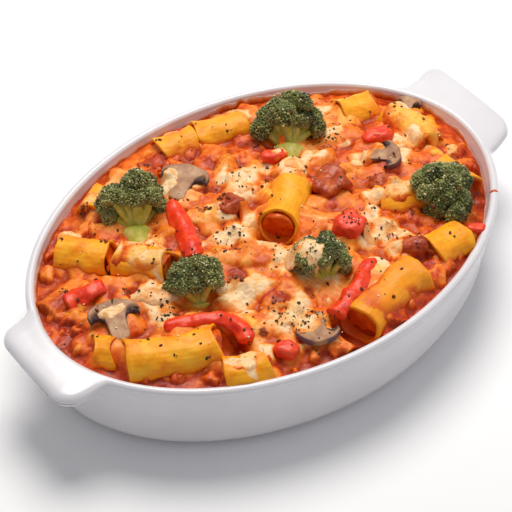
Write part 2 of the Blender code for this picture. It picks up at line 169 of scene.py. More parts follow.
# Where the top of the bake is what: x, y and radius of soft-edged spots
CREAM_SPOTS = (
    (6, 28, 6), (5, 36, 4), (5, 17, 4), (21, 28, 4), (28, 20, 4), (47, 21, 4), (36, 18, 4), (65, 18, 3),
    (71, 43, 4), (100, 16, 4), (85, 2, 5), (78, -8, 4), (37, -30, 5), (25, -38, 5), (36, -39, 5),
    (30, -51, 4), (45, -25, 4), (-13, -25, 6), (-12, -35, 4), (-32, -30, 5), (-42, -30, 5), (-45, -23, 4),
    (-43, -37, 4), (-24, -49, 4), (-37, -53, 5), (-36, -68, 4), (-53, -61, 4), (-67, -64, 4),
    (-69, -58, 3), (-24, 5, 4), (-18, 0, 4), (-30, 7, 2), (-67, 1, 3), (-72, -7, 4), (-75, -15, 4),
    (-71, -18, 3), (-50, 31, 3), (-16, 47, 4),
)
PEACH_SPOTS = (
    (-21, 19, 6), (-23, 12, 4), (-25, -13, 4), (-29, -22, 4), (-32, -7, 4), (60, 23, 5), (50, -2, 4),
    (-38, 16, 3), (-38, 2, 3), (-58, 3, 4), (-62, 16, 4), (-81, 2, 3), (-61, -18, 4), (-57, -10, 3),
    (-54, -27, 3), (-49, -48, 4), (28, 9, 4), (52, -29, 4), (42, -50, 4), (11, -40, 3), (-10, -53, 3),
    (84, -27, 3), (-25, -63, 4), (-60, -72, 3),
)
GOLD_SPOTS = (
    (111, 20, 4), (108, 7, 5), (97, 3, 5), (97, -7, 5), (94, -17, 4), (97, -24, 3), (72, 58, 3),
    (13, 10, 5), (-51, -43, 4), (-42, 56, 3), (-103, -8, 2), (58, -17, 2), (76, 30, 3), (-66, -50, 3),
)
SAUCE_SPOTS = (
    (-16, 70, 4), (-10, 70, 3), (29, 45, 5), (30, 37, 4), (28, 52, 3), (36, 4, 4), (31, -3, 3),
    (29, -12, 3), (-33, -19, 4), (-34, -35, 4), (-31, -41, 3), (-101, 23, 5), (-108, 14, 4), (-109, 4, 5),
    (-82, 11, 3), (-76, 5, 3), (-82, -30, 3), (-48, -65, 4), (-53, -69, 3), (-34, -79, 3), (54, -34, 3),
    (52, -42, 3), (50, -56, 4), (53, -62, 4), (36, -65, 4), (35, -75, 4), (26, -76, 3), (106, 29, 3),
    (112, 32, 2), (95, -33, 3), (89, -46, 3), (5, 50, 4), (-5, 54, 2), (-39, -65, 2), (-20, -73, 3),
    (-20, -83, 3), (5, -78, 4), (-98, -25, 2), (-92, -55, 3),
)
TOAST_SPOTS = (
    (32, 75, 2), (-68, 33, 2), (16, 20, 2), (23, 12, 2), (-10, 19, 3), (-36, -19, 3), (-37, -24, 2),
    (-58, 61, 2), (-19, 21, 2), (114, 25, 2), (117, 17, 2), (79, 62, 2), (-77, 6, 2), (-51, 8, 2),
    (45, 7, 2), (21, -32, 2), (53, -13, 2), (54, -39, 2), (36, -46, 2), (-33, -42, 2), (-48, -52, 2),
    (-97, 27, 2), (-17, 68, 2), (30, 44, 2), (107, -4, 2), (102, -20, 2), (-115, 4, 2), (-36, -75, 2),
    (-37, 18, 2), (38, -59, 2),
)
# Melted cheese lying over other pieces: middle, radii along and across, heading in degrees, thickness, how
# golden (0 cream, 1 golden)
CHEESE_VEILS = (
    ((-21, 47), 6.5, 5, 40, 1.4, 0.0),
    ((-61, 12), 13, 8, -60, 1.3, 0.55),
    ((-70, -4), 12, 5.5, -55, 2.0, 0.0),
    ((-92, -2), 6, 3.6, 0, 1.1, 0.0),
    ((-32, -58), 10, 7, -30, 1.4, 0.2),
    ((-55, 24), 10, 6, -20, 1.6, 0.05),
    ((97, 4), 17, 10, 90, 2.0, 0.9),
    ((56, -27), 10, 7, -20, 1.4, 0.6),
    ((-8, 4), 8, 5, 50, 1.5, 0.1),
    ((-12, -33), 12, 7, -20, 1.8, 0.1),
    ((-53, 63), 6, 5, 10, 1.0, 0.6),
    ((-66, -60), 8, 5, 10, 1.0, 0.4),
    ((8, 27), 15, 9, 10, 2.0, 0.15),
    ((37, -42), 13, 9, -30, 2.0, 0.1),
    ((60, 3), 8, 6, 0, 1.4, 0.2),
    ((89, -3), 9, 7, 20, 2.0, 0.1),
    ((-40, -30), 15, 8, -10, 2.0, 0.15),
    ((-28, -52), 10, 6, 0, 1.6, 0.3),
    ((-22, 2), 10, 7, 0, 1.5, 0.2),
    ((38, 19), 12, 6, 15, 1.5, 0.2),
    ((72, 42), 7, 5, 0, 1.2, 0.3),
    ((12, 16), 6, 4, 30, 1.0, 0.9),
    ((-16, 20), 7, 4, 20, 1.0, 0.5),
    ((30, -52), 8, 5, 30, 1.4, 0.3),
    ((45, -22), 7, 5, -30, 1.4, 0.3),
    ((-68, 25), 9, 5, 30, 1.8, 0.7),
    ((0, -40), 9, 6, 0, 1.6, 0.0),
)
# The same, draped over the broccoli
LATE_VEILS = (
    ((-9, -32.5), 9, 5.5, 45, 0.9, 0.0),
    ((-9, -42), 5, 3, 20, 0.8, 0.0),
    ((34, 30), 6, 4, 30, 0.9, 0.1),
    ((-50, 24), 5, 3, 10, 0.9, 0.1),
)
# Rows of CHEESE_VEILS, counted from 0, that stand for the model's five pools of cheese
POOL_VEILS = {12: "cheese_1", 13: "cheese_2", 15: "cheese_3", 2: "cheese_4", 16: "cheese_5"}
# Where dried herb has fallen thickly: x, y, radius
HERB_CLUSTERS = (
    (-24, 0, 8), (5, 29, 10), (32, -36, 10), (-10, -27, 9), (-48, -16, 8), (62, 26, 6), (-30, -60, 8),
    (56, 28, 5), (-72, -14, 6), (24, -28, 6), (-34, -50, 8),
)


# ---- numbers and noise

def lattice(x, y, z, seed):
    """A steady random number from 0 to 1 for each whole-number point: the coordinates times large primes are
    added, the bits mixed by exclusive-or with a shifted copy and a product, and the low bits kept."""
    bits = (x * 374761393 + y * 668265263 + z * 1103515245 + seed * 362437) & 0xFFFFFFFF
    bits = ((bits ^ (bits >> 13)) * 1274126177) & 0xFFFFFFFF
    return ((bits ^ (bits >> 16)) & 0xFFFFFF) / 0xFFFFFF


def noise(points, size, seed=0):
    """Value noise from -1 to 1: lattice values a given size apart, blended by the smooth step 3t^2 - 2t^3."""
    scaled = np.asarray(points, float) / size
    cell = np.floor(scaled).astype(np.int64)
    share = scaled - cell
    share = share * share * (3 - 2 * share)
    total = 0
    for corner in range(8):
        step = np.array((corner & 1, corner >> 1 & 1, corner >> 2))
        weight = np.prod(np.where(step, share, 1 - share), axis=-1)
        total = total + weight * lattice(*np.moveaxis(cell + step, -1, 0), seed)
    return 2 * total - 1


def rough(points, size, seed=0, octaves=3):
    """Noise added in octaves, each half the size and half the height of the one before."""
    return sum(noise(points, size / 2 ** k, seed + k) / 2 ** k for k in range(octaves))


def all_round(count):
    """Angles spread evenly round a circle."""
    return np.linspace(0, TAU, count, endpoint=False)


def smooth(low, high, value):
    """0 below low, 1 above high, and the smooth step between."""
    share = np.clip((value - low) / (high - low), 0, 1)
    return share * share * (3 - 2 * share)


def together(*parts):
    """Arrays or numbers spread to one shape and put together along a last axis."""
    return np.stack(np.broadcast_arrays(*parts), axis=-1)


def powered(value, power):
    """The value's size to a power, with the value's own sign."""
    return np.sign(value) * np.abs(value) ** power


def unit(vectors):
    """The vectors at length 1."""
    return vectors / np.maximum(np.linalg.norm(vectors, axis=-1, keepdims=True), 1e-12)


def above_rim(point):
    """A table's point, whose height counts from the rim, in the model's own axes."""
    return np.array(point, float) + (0, 0, RIM)


def curve(points, steps):
    """Catmull-Rom curve through points: each stretch is a cubic whose tangents are half the chord between the
    neighbours of its two ends. Gives steps points spread evenly over the stretches."""
    points = np.asarray(points, float)
    padded = np.vstack((2 * points[0] - points[1], points, 2 * points[-1] - points[-2]))
    along = np.linspace(0, len(points) - 1 - 1e-9, steps)
    start = along.astype(int)
    t = (along - start)[:, None]
    a, b, c, d = (padded[start + k] for k in range(4))
    bend, twist = 2 * a - 5 * b + 4 * c - d, 3 * b - a - 3 * c + d
    return 0.5 * (2 * b + (c - a) * t + bend * t ** 2 + twist * t ** 3)


def level_axes(way):
    """Tangent, side and up for each direction: side is square to the tangent and level, up to both."""
    tangent = unit(way)
    side = unit(np.cross(tangent, (0, 0, 1)))
    return tangent, side, np.cross(side, tangent)


# ---- meshes

def grid_faces(rows, columns, wrap_rows=False, wrap_columns=True):
    """Quads between neighbouring rows and columns of a grid of points numbered row by row."""
    row = np.arange(rows if wrap_rows else rows - 1)[:, None]
    column = np.arange(columns if wrap_columns else columns - 1)[None, :]
    down, right = (row + 1) % rows, (column + 1) % columns
    start, after = row * columns, down * columns
    return together(start + column, start + right, after + right, after + column).reshape(-1, 4)


def closed_rings(rings):
    """A closed skin over rings (rows, columns, 3), with a fan to the middle of the first and of the last."""
    rows, columns, _ = rings.shape
    points = np.vstack((rings.reshape(-1, 3), rings[0].mean(axis=0), rings[-1].mean(axis=0)))
    first, last = rows * columns, rows * columns + 1
    index = np.arange(columns)
    after = (index + 1) % columns
    start = together(first, after, index)
    far = (rows - 1) * columns
    end = together(far + index, far + after, last)
    return points, [grid_faces(rows, columns), np.vstack((start, end))]


def joined(shapes):
    """Several (points, faces) shapes as one, the faces numbered on."""
    points, faces, count = [], [], 0
    for shape_points, shape_faces in shapes:
        points.append(shape_points)
        faces += [block + count for block in shape_faces]
        count += len(shape_points)
    return np.vstack(points), faces


def turned_out(points, faces):
    """The faces, each turned over if the closed skin's signed volume, a sum of tetrahedra, is negative."""
    volume = 0.0
    for block in faces:
        corner = points[block]
        for k in range(1, block.shape[1] - 1):
            volume += np.einsum("ij,ij->", corner[:, 0], np.cross(corner[:, k], corner[:, k + 1]))
    return [block[:, ::-1] for block in faces] if volume < 0 else faces


def placed(name, data):
    """An object of the scene with that data, at the origin."""
    made = bpy.data.objects.new(name, data)
    bpy.context.scene.collection.objects.link(made)
    return made


def piece(name, shape, finish, nodes=(), marks=None):
    """An object at the origin from points in mm and blocks of faces, riding on the body, with marks as point
    attributes, standing for the nodes and wearing the finish it is given."""
    points, faces = shape
    faces = turned_out(points, faces)
    mesh = bpy.data.meshes.new(name)
    mesh.vertices.add(len(points))
    mesh.vertices.foreach_set("co", (points * MM).astype(np.float32).ravel())
    sizes = np.concatenate([np.full(len(block), block.shape[1]) for block in faces])
    corners = np.concatenate([block.ravel() for block in faces]).astype(np.int32)
    mesh.loops.add(len(corners))
    mesh.loops.foreach_set("vertex_index", corners)
    mesh.polygons.add(len(sizes))
    mesh.polygons.foreach_set("loop_start", (np.cumsum(sizes) - sizes).astype(np.int32))
    for mark, values in (marks or {}).items():
        mesh.attributes.new(mark, "FLOAT", "POINT").data.foreach_set("value", values.astype(np.float32))
    mesh.update(calc_edges=True)
    mesh.validate()
    mesh.shade_smooth()
    mesh.materials.append(finish)
    made = placed(name, mesh)
    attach(made, "root")
    if nodes:
        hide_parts(*nodes)
    return made


# ---- materials

def linear(code):
    """An sRGB hex colour as linear red, green, blue and 1."""
    parts = [int(code[k:k + 2], 16) / 255 for k in (1, 3, 5)]
    return tuple(p / 12.92 if p <= 0.04045 else ((p + 0.055) / 1.055) ** 2.4 for p in parts) + (1.0,)


def add(tree, kind, settings=None, links=None):
    """A node of that kind: settings go to its attributes, colour stops or sockets, links to its sockets."""
    made = tree.nodes.new(kind)
    for key, value in (settings or {}).items():
        if key == "stops":
            stops = made.color_ramp.elements
            while len(stops) < len(value):
                stops.new(0.5)
            for stop, (place, code) in zip(stops, value):
                stop.position, stop.color = place, linear(code)
        elif isinstance(key, str) and hasattr(made, key):
            setattr(made, key, value)
        else:
            made.inputs[key].default_value = value
    for key, source in (links or {}).items():
        tree.links.new(source, made.inputs[key])
    return made


def begin(name):
    """A new material, its tree, its Principled shader and its Object coordinates."""
    made = bpy.data.materials.new(name)
    made.use_nodes = True
    tree = made.node_tree
    return made, tree, tree.nodes["Principled BSDF"], add(tree, "ShaderNodeTexCoord").outputs["Object"]


def settle(shader, **values):
    """Constant values on the shader's own sockets; an underscore stands for a space."""
    for key, value in values.items():
        shader.inputs[key.replace("_", " ")].default_value = value


def mark_of(tree, name):
    """The piece's own mark of that name, read from its points."""
    return add(tree, "ShaderNodeAttribute", {"attribute_name": name}).outputs["Fac"]


def grain(tree, place, size, detail=4.0, roughness=0.6, distortion=0.0):
    """Noise whose patches are about size mm across."""
    settings = {"Scale": 1 / (size * MM), "Detail": detail, "Roughness": roughness, "Distortion": distortion}
    return add(tree, "ShaderNodeTexNoise", settings, {"Vector": place}).outputs["Fac"]


def between(tree, low, high, value):
    """The value spread so that low becomes 0 and high 1, smoothly."""
    settings = {"interpolation_type": "SMOOTHSTEP", "From Min": low, "From Max": high}
    return add(tree, "ShaderNodeMapRange", settings, {"Value": value}).outputs["Result"]


def sums(tree, operation, first, second):
    """Two sockets or numbers added, multiplied and so on."""
    made = add(tree, "ShaderNodeMath", {"operation": operation})
    for socket, value in zip(made.inputs, (first, second)):
        if isinstance(value, (int, float)):
            socket.default_value = value
        else:
            tree.links.new(value, socket)
    return made.outputs[0]


def swayed(tree, value, pattern, amount):
    """The value raised and lowered by a pattern: amount times the pattern less a half is added to it."""
    return sums(tree, "ADD", value, sums(tree, "MULTIPLY", sums(tree, "SUBTRACT", pattern, 0.5), amount))


def blend(tree, share, first, second):
    """The first colour, and as the share goes to 1 the second; either may be a hex code."""
    made = add(tree, "ShaderNodeMix", {"data_type": "RGBA"}, {0: share})
    for socket, value in ((made.inputs[6], first), (made.inputs[7], second)):
        if isinstance(value, str):
            socket.default_value = linear(value)
        else:
            tree.links.new(value, socket)
    return made.outputs[2]


def colours(tree, share, *stops):
    """A run of colours along the share: each stop is a place and a hex code."""
    return add(tree, "ShaderNodeValToRGB", {"stops": stops}, {"Fac": share}).outputs["Color"]


def relief(tree, shader, height, depth, strength=1.0):
    """Fine relief of that depth in mm on the shader's normal."""
    bump = add(tree, "ShaderNodeBump", {"Strength": strength, "Distance": depth * MM}, {"Height": height})
    tree.links.new(bump.outputs["Normal"], shader.inputs["Normal"])


def paint(tree, shader, colour):
    """The colour as the shader's base colour."""
    tree.links.new(colour, shader.inputs["Base Color"])


def let_light_in(shader, weight, reach, scale):
    """Light that goes a little way in: its share, how far each colour goes, and the scale of that in mm."""
    settle(shader, Subsurface_Weight=weight, Subsurface_Radius=reach, Subsurface_Scale=scale * MM)


def glazed_stoneware():
    """White stoneware under a clear dipped glaze: bright, a touch cool, wet-looking highlights, and the slow
    waves of a glaze that ran a little before it set."""
    made, tree, shader, place = begin("glazed_white_stoneware")
    slow = grain(tree, place, 34, 2)
    paint(tree, shader, colours(tree, slow, (0.3, "#DCD9DC"), (0.7, "#E5E2E5")))
    settle(shader, Roughness=0.26, IOR=1.5, Coat_Weight=0.15, Coat_Roughness=0.1)
    relief(tree, shader, grain(tree, place, 16, 2), 0.35, 0.5)
    return made


def tomato_sauce_colour(tree, place, depth):
    """Baked tomato sauce: orange where oil rose, red-brown in the hollows."""
    swirl = grain(tree, place, 6, 5, 0.6, 0.8)
    top = colours(tree, swirl, (0.30, "#B63604"), (0.45, "#DA5006"), (0.60, "#EE6E10"), (0.76, "#F6922C"))
    return blend(tree, depth, top, "#8A2A04")


def baked_colour(tree, place, melt, gold, deep):
    """From bare sauce to thick mozzarella in one run: red-brown, red-orange, orange, peach, cream, ivory. The
    browned parts run through golden instead. Deep darkens it all towards red-brown: painted shade in the
    heap's hollows, and on the tubes the sauce they lie wet in."""
    swirl = grain(tree, place, 9, 4, 0.6, 0.4)
    plain = colours(tree, melt, (0.0, "#AE3004"), (0.18, "#D04A08"), (0.38, "#E86A14"), (0.60, "#F48C30"),
                    (0.80, "#F8B268"), (1.0, "#FAD6A6"))
    golden = colours(tree, melt, (0.0, "#A83A04"), (0.22, "#D05C08"), (0.46, "#EC7C0C"), (0.70, "#FA9C22"),
                     (0.95, "#FEBC4C"))
    browned = blend(tree, between(tree, 0.35, 0.8, swayed(tree, gold, swirl, 0.8)), plain, golden)
    # Darkened towards red-brown by deep: painted shade on the heap, a sauce stain on the tubes
    return blend(tree, sums(tree, "MULTIPLY", deep, 0.52), browned, "#8E2C04")


def baked_top():
    """The top of the bake: melted cheese over tomato sauce, marbled where they ran together, with toasted
    blisters, and painted shade darkening its hollows. Oily, so it shines softly; the cheese lets light a
    little way in."""
    made, tree, shader, place = begin("melted_cheese_on_tomato_sauce")
    melt, gold, toast, deep = (mark_of(tree, name) for name in ("melt", "gold", "toast", "deep"))
    marble = grain(tree, place, 5.5, 5, 0.6, 1.0)
    fine = grain(tree, place, 1.5, 4, 0.6)
    share = swayed(tree, swayed(tree, melt, marble, 1.1), fine, 0.25)
    mixed = baked_colour(tree, place, share, gold, deep)
    spots = between(tree, 0.46, 0.90, swayed(tree, toast, fine, 1.4))
    burnt = colours(tree, marble, (0.35, "#7A2C0E"), (0.6, "#AC4A18"))
    paint(tree, shader, blend(tree, spots, mixed, burnt))
    gloss = add(tree, "ShaderNodeMapRange", {"To Min": 0.36, "To Max": 0.52}, {"Value": share})
    tree.links.new(gloss.outputs["Result"], shader.inputs["Roughness"])
    settle(shader, IOR=1.45, Specular_IOR_Level=0.35)
    let_light_in(shader, 0.12, (1.0, 0.5, 0.22), 1.8)
    relief(tree, shader, sums(tree, "ADD", fine, marble), 0.35, 0.5)
    return made


def durum_pasta():
    """Rigatoni extruded from durum dough, baked: deep yellow turning orange where oil and tomato soaked in,
    scorched where it stood proud, cheese clinging where it melted down."""
    made, tree, shader, place = begin("baked_durum_pasta")
    melt, gold, toast, wet = (mark_of(tree, name) for name in ("melt", "gold", "toast", "wet"))
    slow = grain(tree, place, 10, 4, 0.55, 0.4)
    fine = grain(tree, place, 1.6, 4, 0.6)
    dough = colours(tree, slow, (0.28, "#EE8208"), (0.42, "#FC9A10"), (0.56, "#FFAC18"), (0.74, "#FFBC34"))
    stained = blend(tree, between(tree, 0.35, 0.95, swayed(tree, wet, slow, 0.9)), dough, "#DC5E0A")
    cheese = baked_colour(tree, place, sums(tree, "ADD", melt, 0.1), gold, sums(tree, "MULTIPLY", wet, 0.3))
    cling = between(tree, 0.50, 0.90, swayed(tree, melt, slow, 1.2))
    covered = blend(tree, cling, stained, cheese)
    specks = between(tree, 0.62, 0.86, swayed(tree, toast, grain(tree, place, 3.2, 3, 0.5), 1.6))
    paint(tree, shader, blend(tree, specks, covered, "#A04A14"))
    settle(shader, Roughness=0.46, IOR=1.46, Specular_IOR_Level=0.35)
    let_light_in(shader, 0.18, (1.0, 0.5, 0.15), 2.0)
    relief(tree, shader, sums(tree, "ADD", fine, slow), 0.3, 0.6)
    return made


def sauce_finish():
    """Thin tomato sauce in the tubes and against the wall: wet, dark orange-red, lighter where it is thin."""
    made, tree, shader, place = begin("baked_tomato_sauce")
    paint(tree, shader, tomato_sauce_colour(tree, place, mark_of(tree, "deep")))
    settle(shader, Roughness=0.34, IOR=1.42)
    let_light_in(shader, 0.1, (1.0, 0.3, 0.1), 1.5)
    relief(tree, shader, grain(tree, place, 1.8, 4), 0.4, 0.7)
    return made


def dried_film():
    """The line baked onto the wall: sauce dried from a red-brown edge up to a faint pink stain."""
    made, tree, shader, place = begin("dried_sauce_film")
    patch = swayed(tree, mark_of(tree, "height"), grain(tree, place, 7, 5), 0.9)
    paint(tree, shader, colours(tree, patch, (0.38, "#B0480C"), (0.60, "#D8803A"), (0.78, "#E2AE8A"),
                                (0.95, "#E2DBDC")))
    settle(shader, Roughness=0.38, IOR=1.45)
    return made


def broccoli_finish():
    """Baked broccoli: deep blue-green buds, olive between them, and pale, slightly clear stems."""
    made, tree, shader, place = begin("baked_broccoli")
    bud, tip = mark_of(tree, "bud"), mark_of(tree, "tip")
    slow = grain(tree, place, 5, 3)
    stem = colours(tree, slow, (0.3, "#A4A62C"), (0.5, "#C4BE4C"), (0.7, "#DCD688"))
    dark = colours(tree, slow, (0.28, "#16220E"), (0.42, "#2C3A1C"), (0.56, "#4E5A1E"), (0.74, "#7C7E2A"))
    paint(tree, shader, blend(tree, bud, stem, blend(tree, tip, dark, "#AAA866")))
    settle(shader, Roughness=0.5, IOR=1.42)
    let_light_in(shader, 0.08, (1.0, 1.0, 0.5), 1.2)
    relief(tree, shader, grain(tree, place, 0.9, 3), 0.2, 0.6)
    return made


def red_pepper():
    """Roasted red pepper: saturated clear red under a waxy skin, softer and more orange at its cut edges."""
    made, tree, shader, place = begin("roasted_red_pepper")
    slow = grain(tree, place, 6, 3)
    skin = colours(tree, slow, (0.3, "#D82604"), (0.5, "#F03A0A"), (0.72, "#F8602A"))
    paint(tree, shader, blend(tree, mark_of(tree, "cut"), skin, "#E8482A"))
    settle(shader, Roughness=0.38, IOR=1.45)
    let_light_in(shader, 0.15, (1.0, 0.15, 0.05), 2.0)
    relief(tree, shader, grain(tree, place, 3, 4), 0.5, 0.7)
    return made


def stewed_tomato():
    """Peeled tomato, softened in the oven: clear dusky red flesh, wrinkled and wet."""
    made, tree, shader, place = begin("stewed_tomato")
    slow = grain(tree, place, 6, 4, 0.6, 0.6)
    paint(tree, shader, colours(tree, slow, (0.28, "#8E2A0A"), (0.46, "#AE4012"), (0.62, "#C85A24"),
                                (0.8, "#DC8442")))
    settle(shader, Roughness=0.34, IOR=1.42)
    let_light_in(shader, 0.2, (1.0, 0.3, 0.15), 2.5)
    relief(tree, shader, grain(tree, place, 2.5, 4), 0.5, 0.7)
    return made


def cooked_mushroom():
    """Sliced button mushroom, baked: tan moist flesh, grey-brown skin round the cap, nearly black gills."""
    made, tree, shader, place = begin("baked_mushroom")
    gill, skin = mark_of(tree, "gill"), mark_of(tree, "skin")
    slow = grain(tree, place, 5, 4)
    flesh = colours(tree, slow, (0.3, "#906244"), (0.5, "#AE7E58"), (0.72, "#C8A07A"))
    edged = blend(tree, skin, flesh, "#705058")
    dark = colours(tree, grain(tree, place, 1.2, 3), (0.35, "#2C1A1A"), (0.65, "#5A4040"))
    paint(tree, shader, blend(tree, gill, edged, dark))
    settle(shader, Roughness=0.46, IOR=1.42, Specular_IOR_Level=0.35)
    let_light_in(shader, 0.2, (1.0, 0.6, 0.35), 1.5)
    relief(tree, shader, grain(tree, place, 1.0, 3), 0.15, 0.5)
    return made


def crumb(name, dark, light, roughness):
    """Small dry bits, each kind in its own two colours."""
    made, tree, shader, place = begin(name)
    paint(tree, shader, colours(tree, grain(tree, place, 2.2, 2), (0.35, dark), (0.65, light)))
    settle(shader, Roughness=roughness, IOR=1.45)
    return made


# ---- the dish

def oval(angle, offset, share=1.0):
    """Points of a near ellipse: its half axes plus the offset, times the powered cosine and sine."""
    c, s = np.cos(angle), np.sin(angle)
    return ((RIM_LONG + offset) * powered(c, OVAL_POWER) * share,
            (RIM_WIDE + offset) * powered(s, OVAL_POWER) * share)


def arc(centre, radius, start, end, steps):
    """Points of a circle's arc: centre plus radius times cosine and sine, from start to end in degrees."""
    angle = np.radians(np.linspace(start, end, steps))
    return together(centre[0] + radius * np.cos(angle), centre[1] + radius * np.sin(angle))


def lug_distance(x, y):
    """How far a point lies outside the outline of the lug on its side: a rounded box, sheared and shifted a
    little, whose sides flare towards the wall."""
    side = np.sign(x)
    x, y = x * side, y * side
    grown = 2.25 * side - 0.65
    reach = np.clip((x - RIM_LONG) / 18.6, 0, 1)
    along = x - 0.09 * y * reach - 0.8 * np.cos(np.clip(y / 28, -1, 1) * 1.5)
    across = np.abs(y - (2.4 + 3.0 * side) * reach)
    half = LUG_HALF + 0.55 * grown + 7.0 * np.clip((124 - x) / 14, 0, 1) ** 2
    over_x, over_y = along - (LUG_REACH + grown - LUG_CORNER), across - (half - LUG_CORNER)
    outside = np.hypot(np.maximum(over_x, 0), np.maximum(over_y, 0))
    return outside + np.minimum(np.maximum(over_x, over_y), 0) - LUG_CORNER


def outline_offset(angle):
    """Offset at which the way out from the lip crosses the outline of lip and lug together: the last offset
    whose smooth union of the two distances is not above zero."""
    offset = np.linspace(LIP, 32, 300)
    x, y = oval(angle[:, None], offset[None, :])
    to_lip, to_lug = offset[None, :] - LIP, lug_distance(x, y)
    melt = np.clip(0.5 + 0.5 * (to_lip - to_lug) / LUG_FILLET, 0, 1)
    union = to_lip * (1 - melt) + to_lug * melt - LUG_FILLET * melt * (1 - melt) * 0.5
    inside = union <= 0
    last = inside.shape[1] - 1 - np.argmax(inside[:, ::-1], axis=1)
    last = np.where(inside.any(axis=1), last, 0)
    return np.maximum(offset[last], LIP)


def evened(field):
    """The field averaged with humped weights over seven neighbouring rows and seven columns."""
    weights = np.hanning(9)[1:-1]
    weights /= weights.sum()
    for axis, mode in ((0, "edge"), (1, "wrap")):
        widths = [(0, 0), (0, 0)]
        widths[axis] = (3, 3)
        padded = np.pad(field, widths, mode=mode)
        count = field.shape[axis]
        parts = (np.take(padded, np.arange(k, k + count), axis) for k in range(len(weights)))
        field = sum(weight * part for weight, part in zip(weights, parts))
    return field


def dish_profile():
    """Offset and height along the profile, from the middle of the base to the floor's corner, with the first
    of its rows that a lug replaces and how many there are: arcs for foot, lip and inner corner, curves
    between them."""
    under = [(-30.0, 0.9), (-21.0, 0.8), (-19.4, 0.0), (-15.6, 0.0)]
    foot = arc((-14.2, 12.2), 12.2, -90, 0, 14)
    wall = curve([foot[-2], foot[-1], (-1.3, 19.5), WALL_SEAM], 30)[10:]
    upper = curve([WALL_SEAM, (-0.1, 29.0), (0.5, 36.0), (1.2, 39.4), (1.97, 40.8)], 26)[1:]
    lip = arc((0, RIM - LIP), LIP, -20, 90, 30)[1:]
    rolled = arc((0, RIM - LIP), LIP, 90, 180, 9)[1:]
    inner = curve([rolled[-1], (-2.9, RIM - 5), (-3.4, RIM - 7.5), (-4.2, 26), (-4.6, 16.5)], 20)[1:]
    corner = arc((-15.6, 16.5), 11.0, 0, -90, 10)[1:]
    profile = np.vstack((under, foot, wall, upper, lip, rolled, inner, corner))
    return profile, len(under) + len(foot) + len(wall), len(upper) + len(lip)


def stoneware_dish(finish):
    """The dish as a surface of angle and place along a profile. The profile runs from the middle of the base
    up the outer wall, over lip or lug, down the inner wall to the middle of the floor. Where there is a lug,
    the profile leaves the wall under it, turns round its edge and comes back over its top; its share grows
    smoothly with the outline's offset."""
    turn = all_round(DISH_COLUMNS)
    angle = turn - 0.31 * np.sin(2 * turn)
    reach = outline_offset(angle)
    kernel = np.hanning(9)
    reach = np.convolve(np.r_[reach[-4:], reach, reach[:4]], kernel / kernel.sum(), "valid")
    plain, first, count = dish_profile()
    x, y = oval(angle[None, :], plain[:, :1])
    z = np.broadcast_to(plain[:, 1:], x.shape).copy()

    top, seam = RIM - 0.45, WALL_SEAM[1]
    climbs, turns = 0.22, 0.6  # shares of the rows at which they leave the wall and turn round the lug's edge
    share = np.linspace(1 / count, 1, count)[:, None]
    out = -0.65 * np.maximum(1 - share / climbs, 0)
    fan = np.where(share < turns, smooth(0.2, turns, share), 1 - smooth(turns, 1.0, share))
    fan = np.sin(fan * math.pi / 2)
    far = np.maximum(reach, 4.0)[None, :]
    offset = 0.2 + out + (far - 0.2) * fan
    lug_x, lug_y = oval(angle[None, :], offset)
    outline = np.minimum(lug_distance(lug_x, lug_y), offset - LIP)
    inward = np.minimum(np.maximum(0.0, -outline), far - offset)
    rounding = LUG_EDGE - np.sqrt(np.maximum(LUG_EDGE ** 2 - np.maximum(LUG_EDGE - inward, 0) ** 2, 0))
    near_wall = np.clip((offset - 0.3) / 5.0, 0, 1)
    below = top - LUG_THICK + rounding - LUG_ROOT * (1 - np.sqrt(1 - (1 - near_wall) ** 2))
    below = np.where(share < climbs, seam + (below - seam) * (share / climbs), below)
    above = top - rounding - 0.8 * (1 - smooth(0, 9, inward)) + (RIM - top) * (1 - smooth(0, 7, offset))
    lug_z = np.where(share < turns, below, above)
    blend_in = smooth(LIP + 0.4, LIP + 6.5, reach)[None, :]
    rows = slice(first, first + count)
    root = 1 - smooth(LIP + 10, LIP + 15, reach)[None, :]
    for plain_field, lug_field in ((x, lug_x), (y, lug_y), (z, lug_z)):
        shift = (lug_field - plain_field[rows]) * blend_in
        plain_field[rows] += shift + (evened(shift) - shift) * root
    floor_x, floor_y = oval(angle[None, :], -15.6, np.array((0.8, 0.5, 0.2))[:, None])
    x, y = np.vstack((x, floor_x)), np.vstack((y, floor_y))
    z = np.vstack((z, np.full(floor_x.shape, FLOOR)))
    waves = rough(together(x, y, z), 60, 5, 2) * 0.25
    rings = together(x + waves * np.cos(angle), y + waves * np.sin(angle), z)
    return piece("glazed_dish", closed_rings(rings), finish, ["baking_dish"])


# ---- fields over the heap

STEP = 0.5
FIELD_X, FIELD_Y = np.meshgrid(np.arange(-124, 124.1, STEP), np.arange(-91, 91.1, STEP), indexing="ij")
FLAT = together(FIELD_X, FIELD_Y, 0.0)
OVAL_SHARE = np.hypot(FIELD_X / (RIM_LONG - 3), FIELD_Y / (RIM_WIDE - 3))


def heap_height(x, y):
    """Height over the table of the heap's plain top: the rim less the edge drop, an oval dome, a lean to one
    side, and two crossed sine waves that die out at the wall."""
    a, b = x / HEAP_LONG, y / HEAP_WIDE
    square = a * a + b * b
    lean = np.clip(a * HEAP_WAY[0] + b * HEAP_WAY[1], -1, 1)
    waves = np.sin(x / 9 + 1) * np.sin(y / 8 + 2) * np.maximum(0, 1 - square ** 2)
    return RIM + HEAP_EDGE + HEAP_CROWN * np.maximum(0, 1 - square) - HEAP_LEAN * lean + HEAP_BUMP * waves


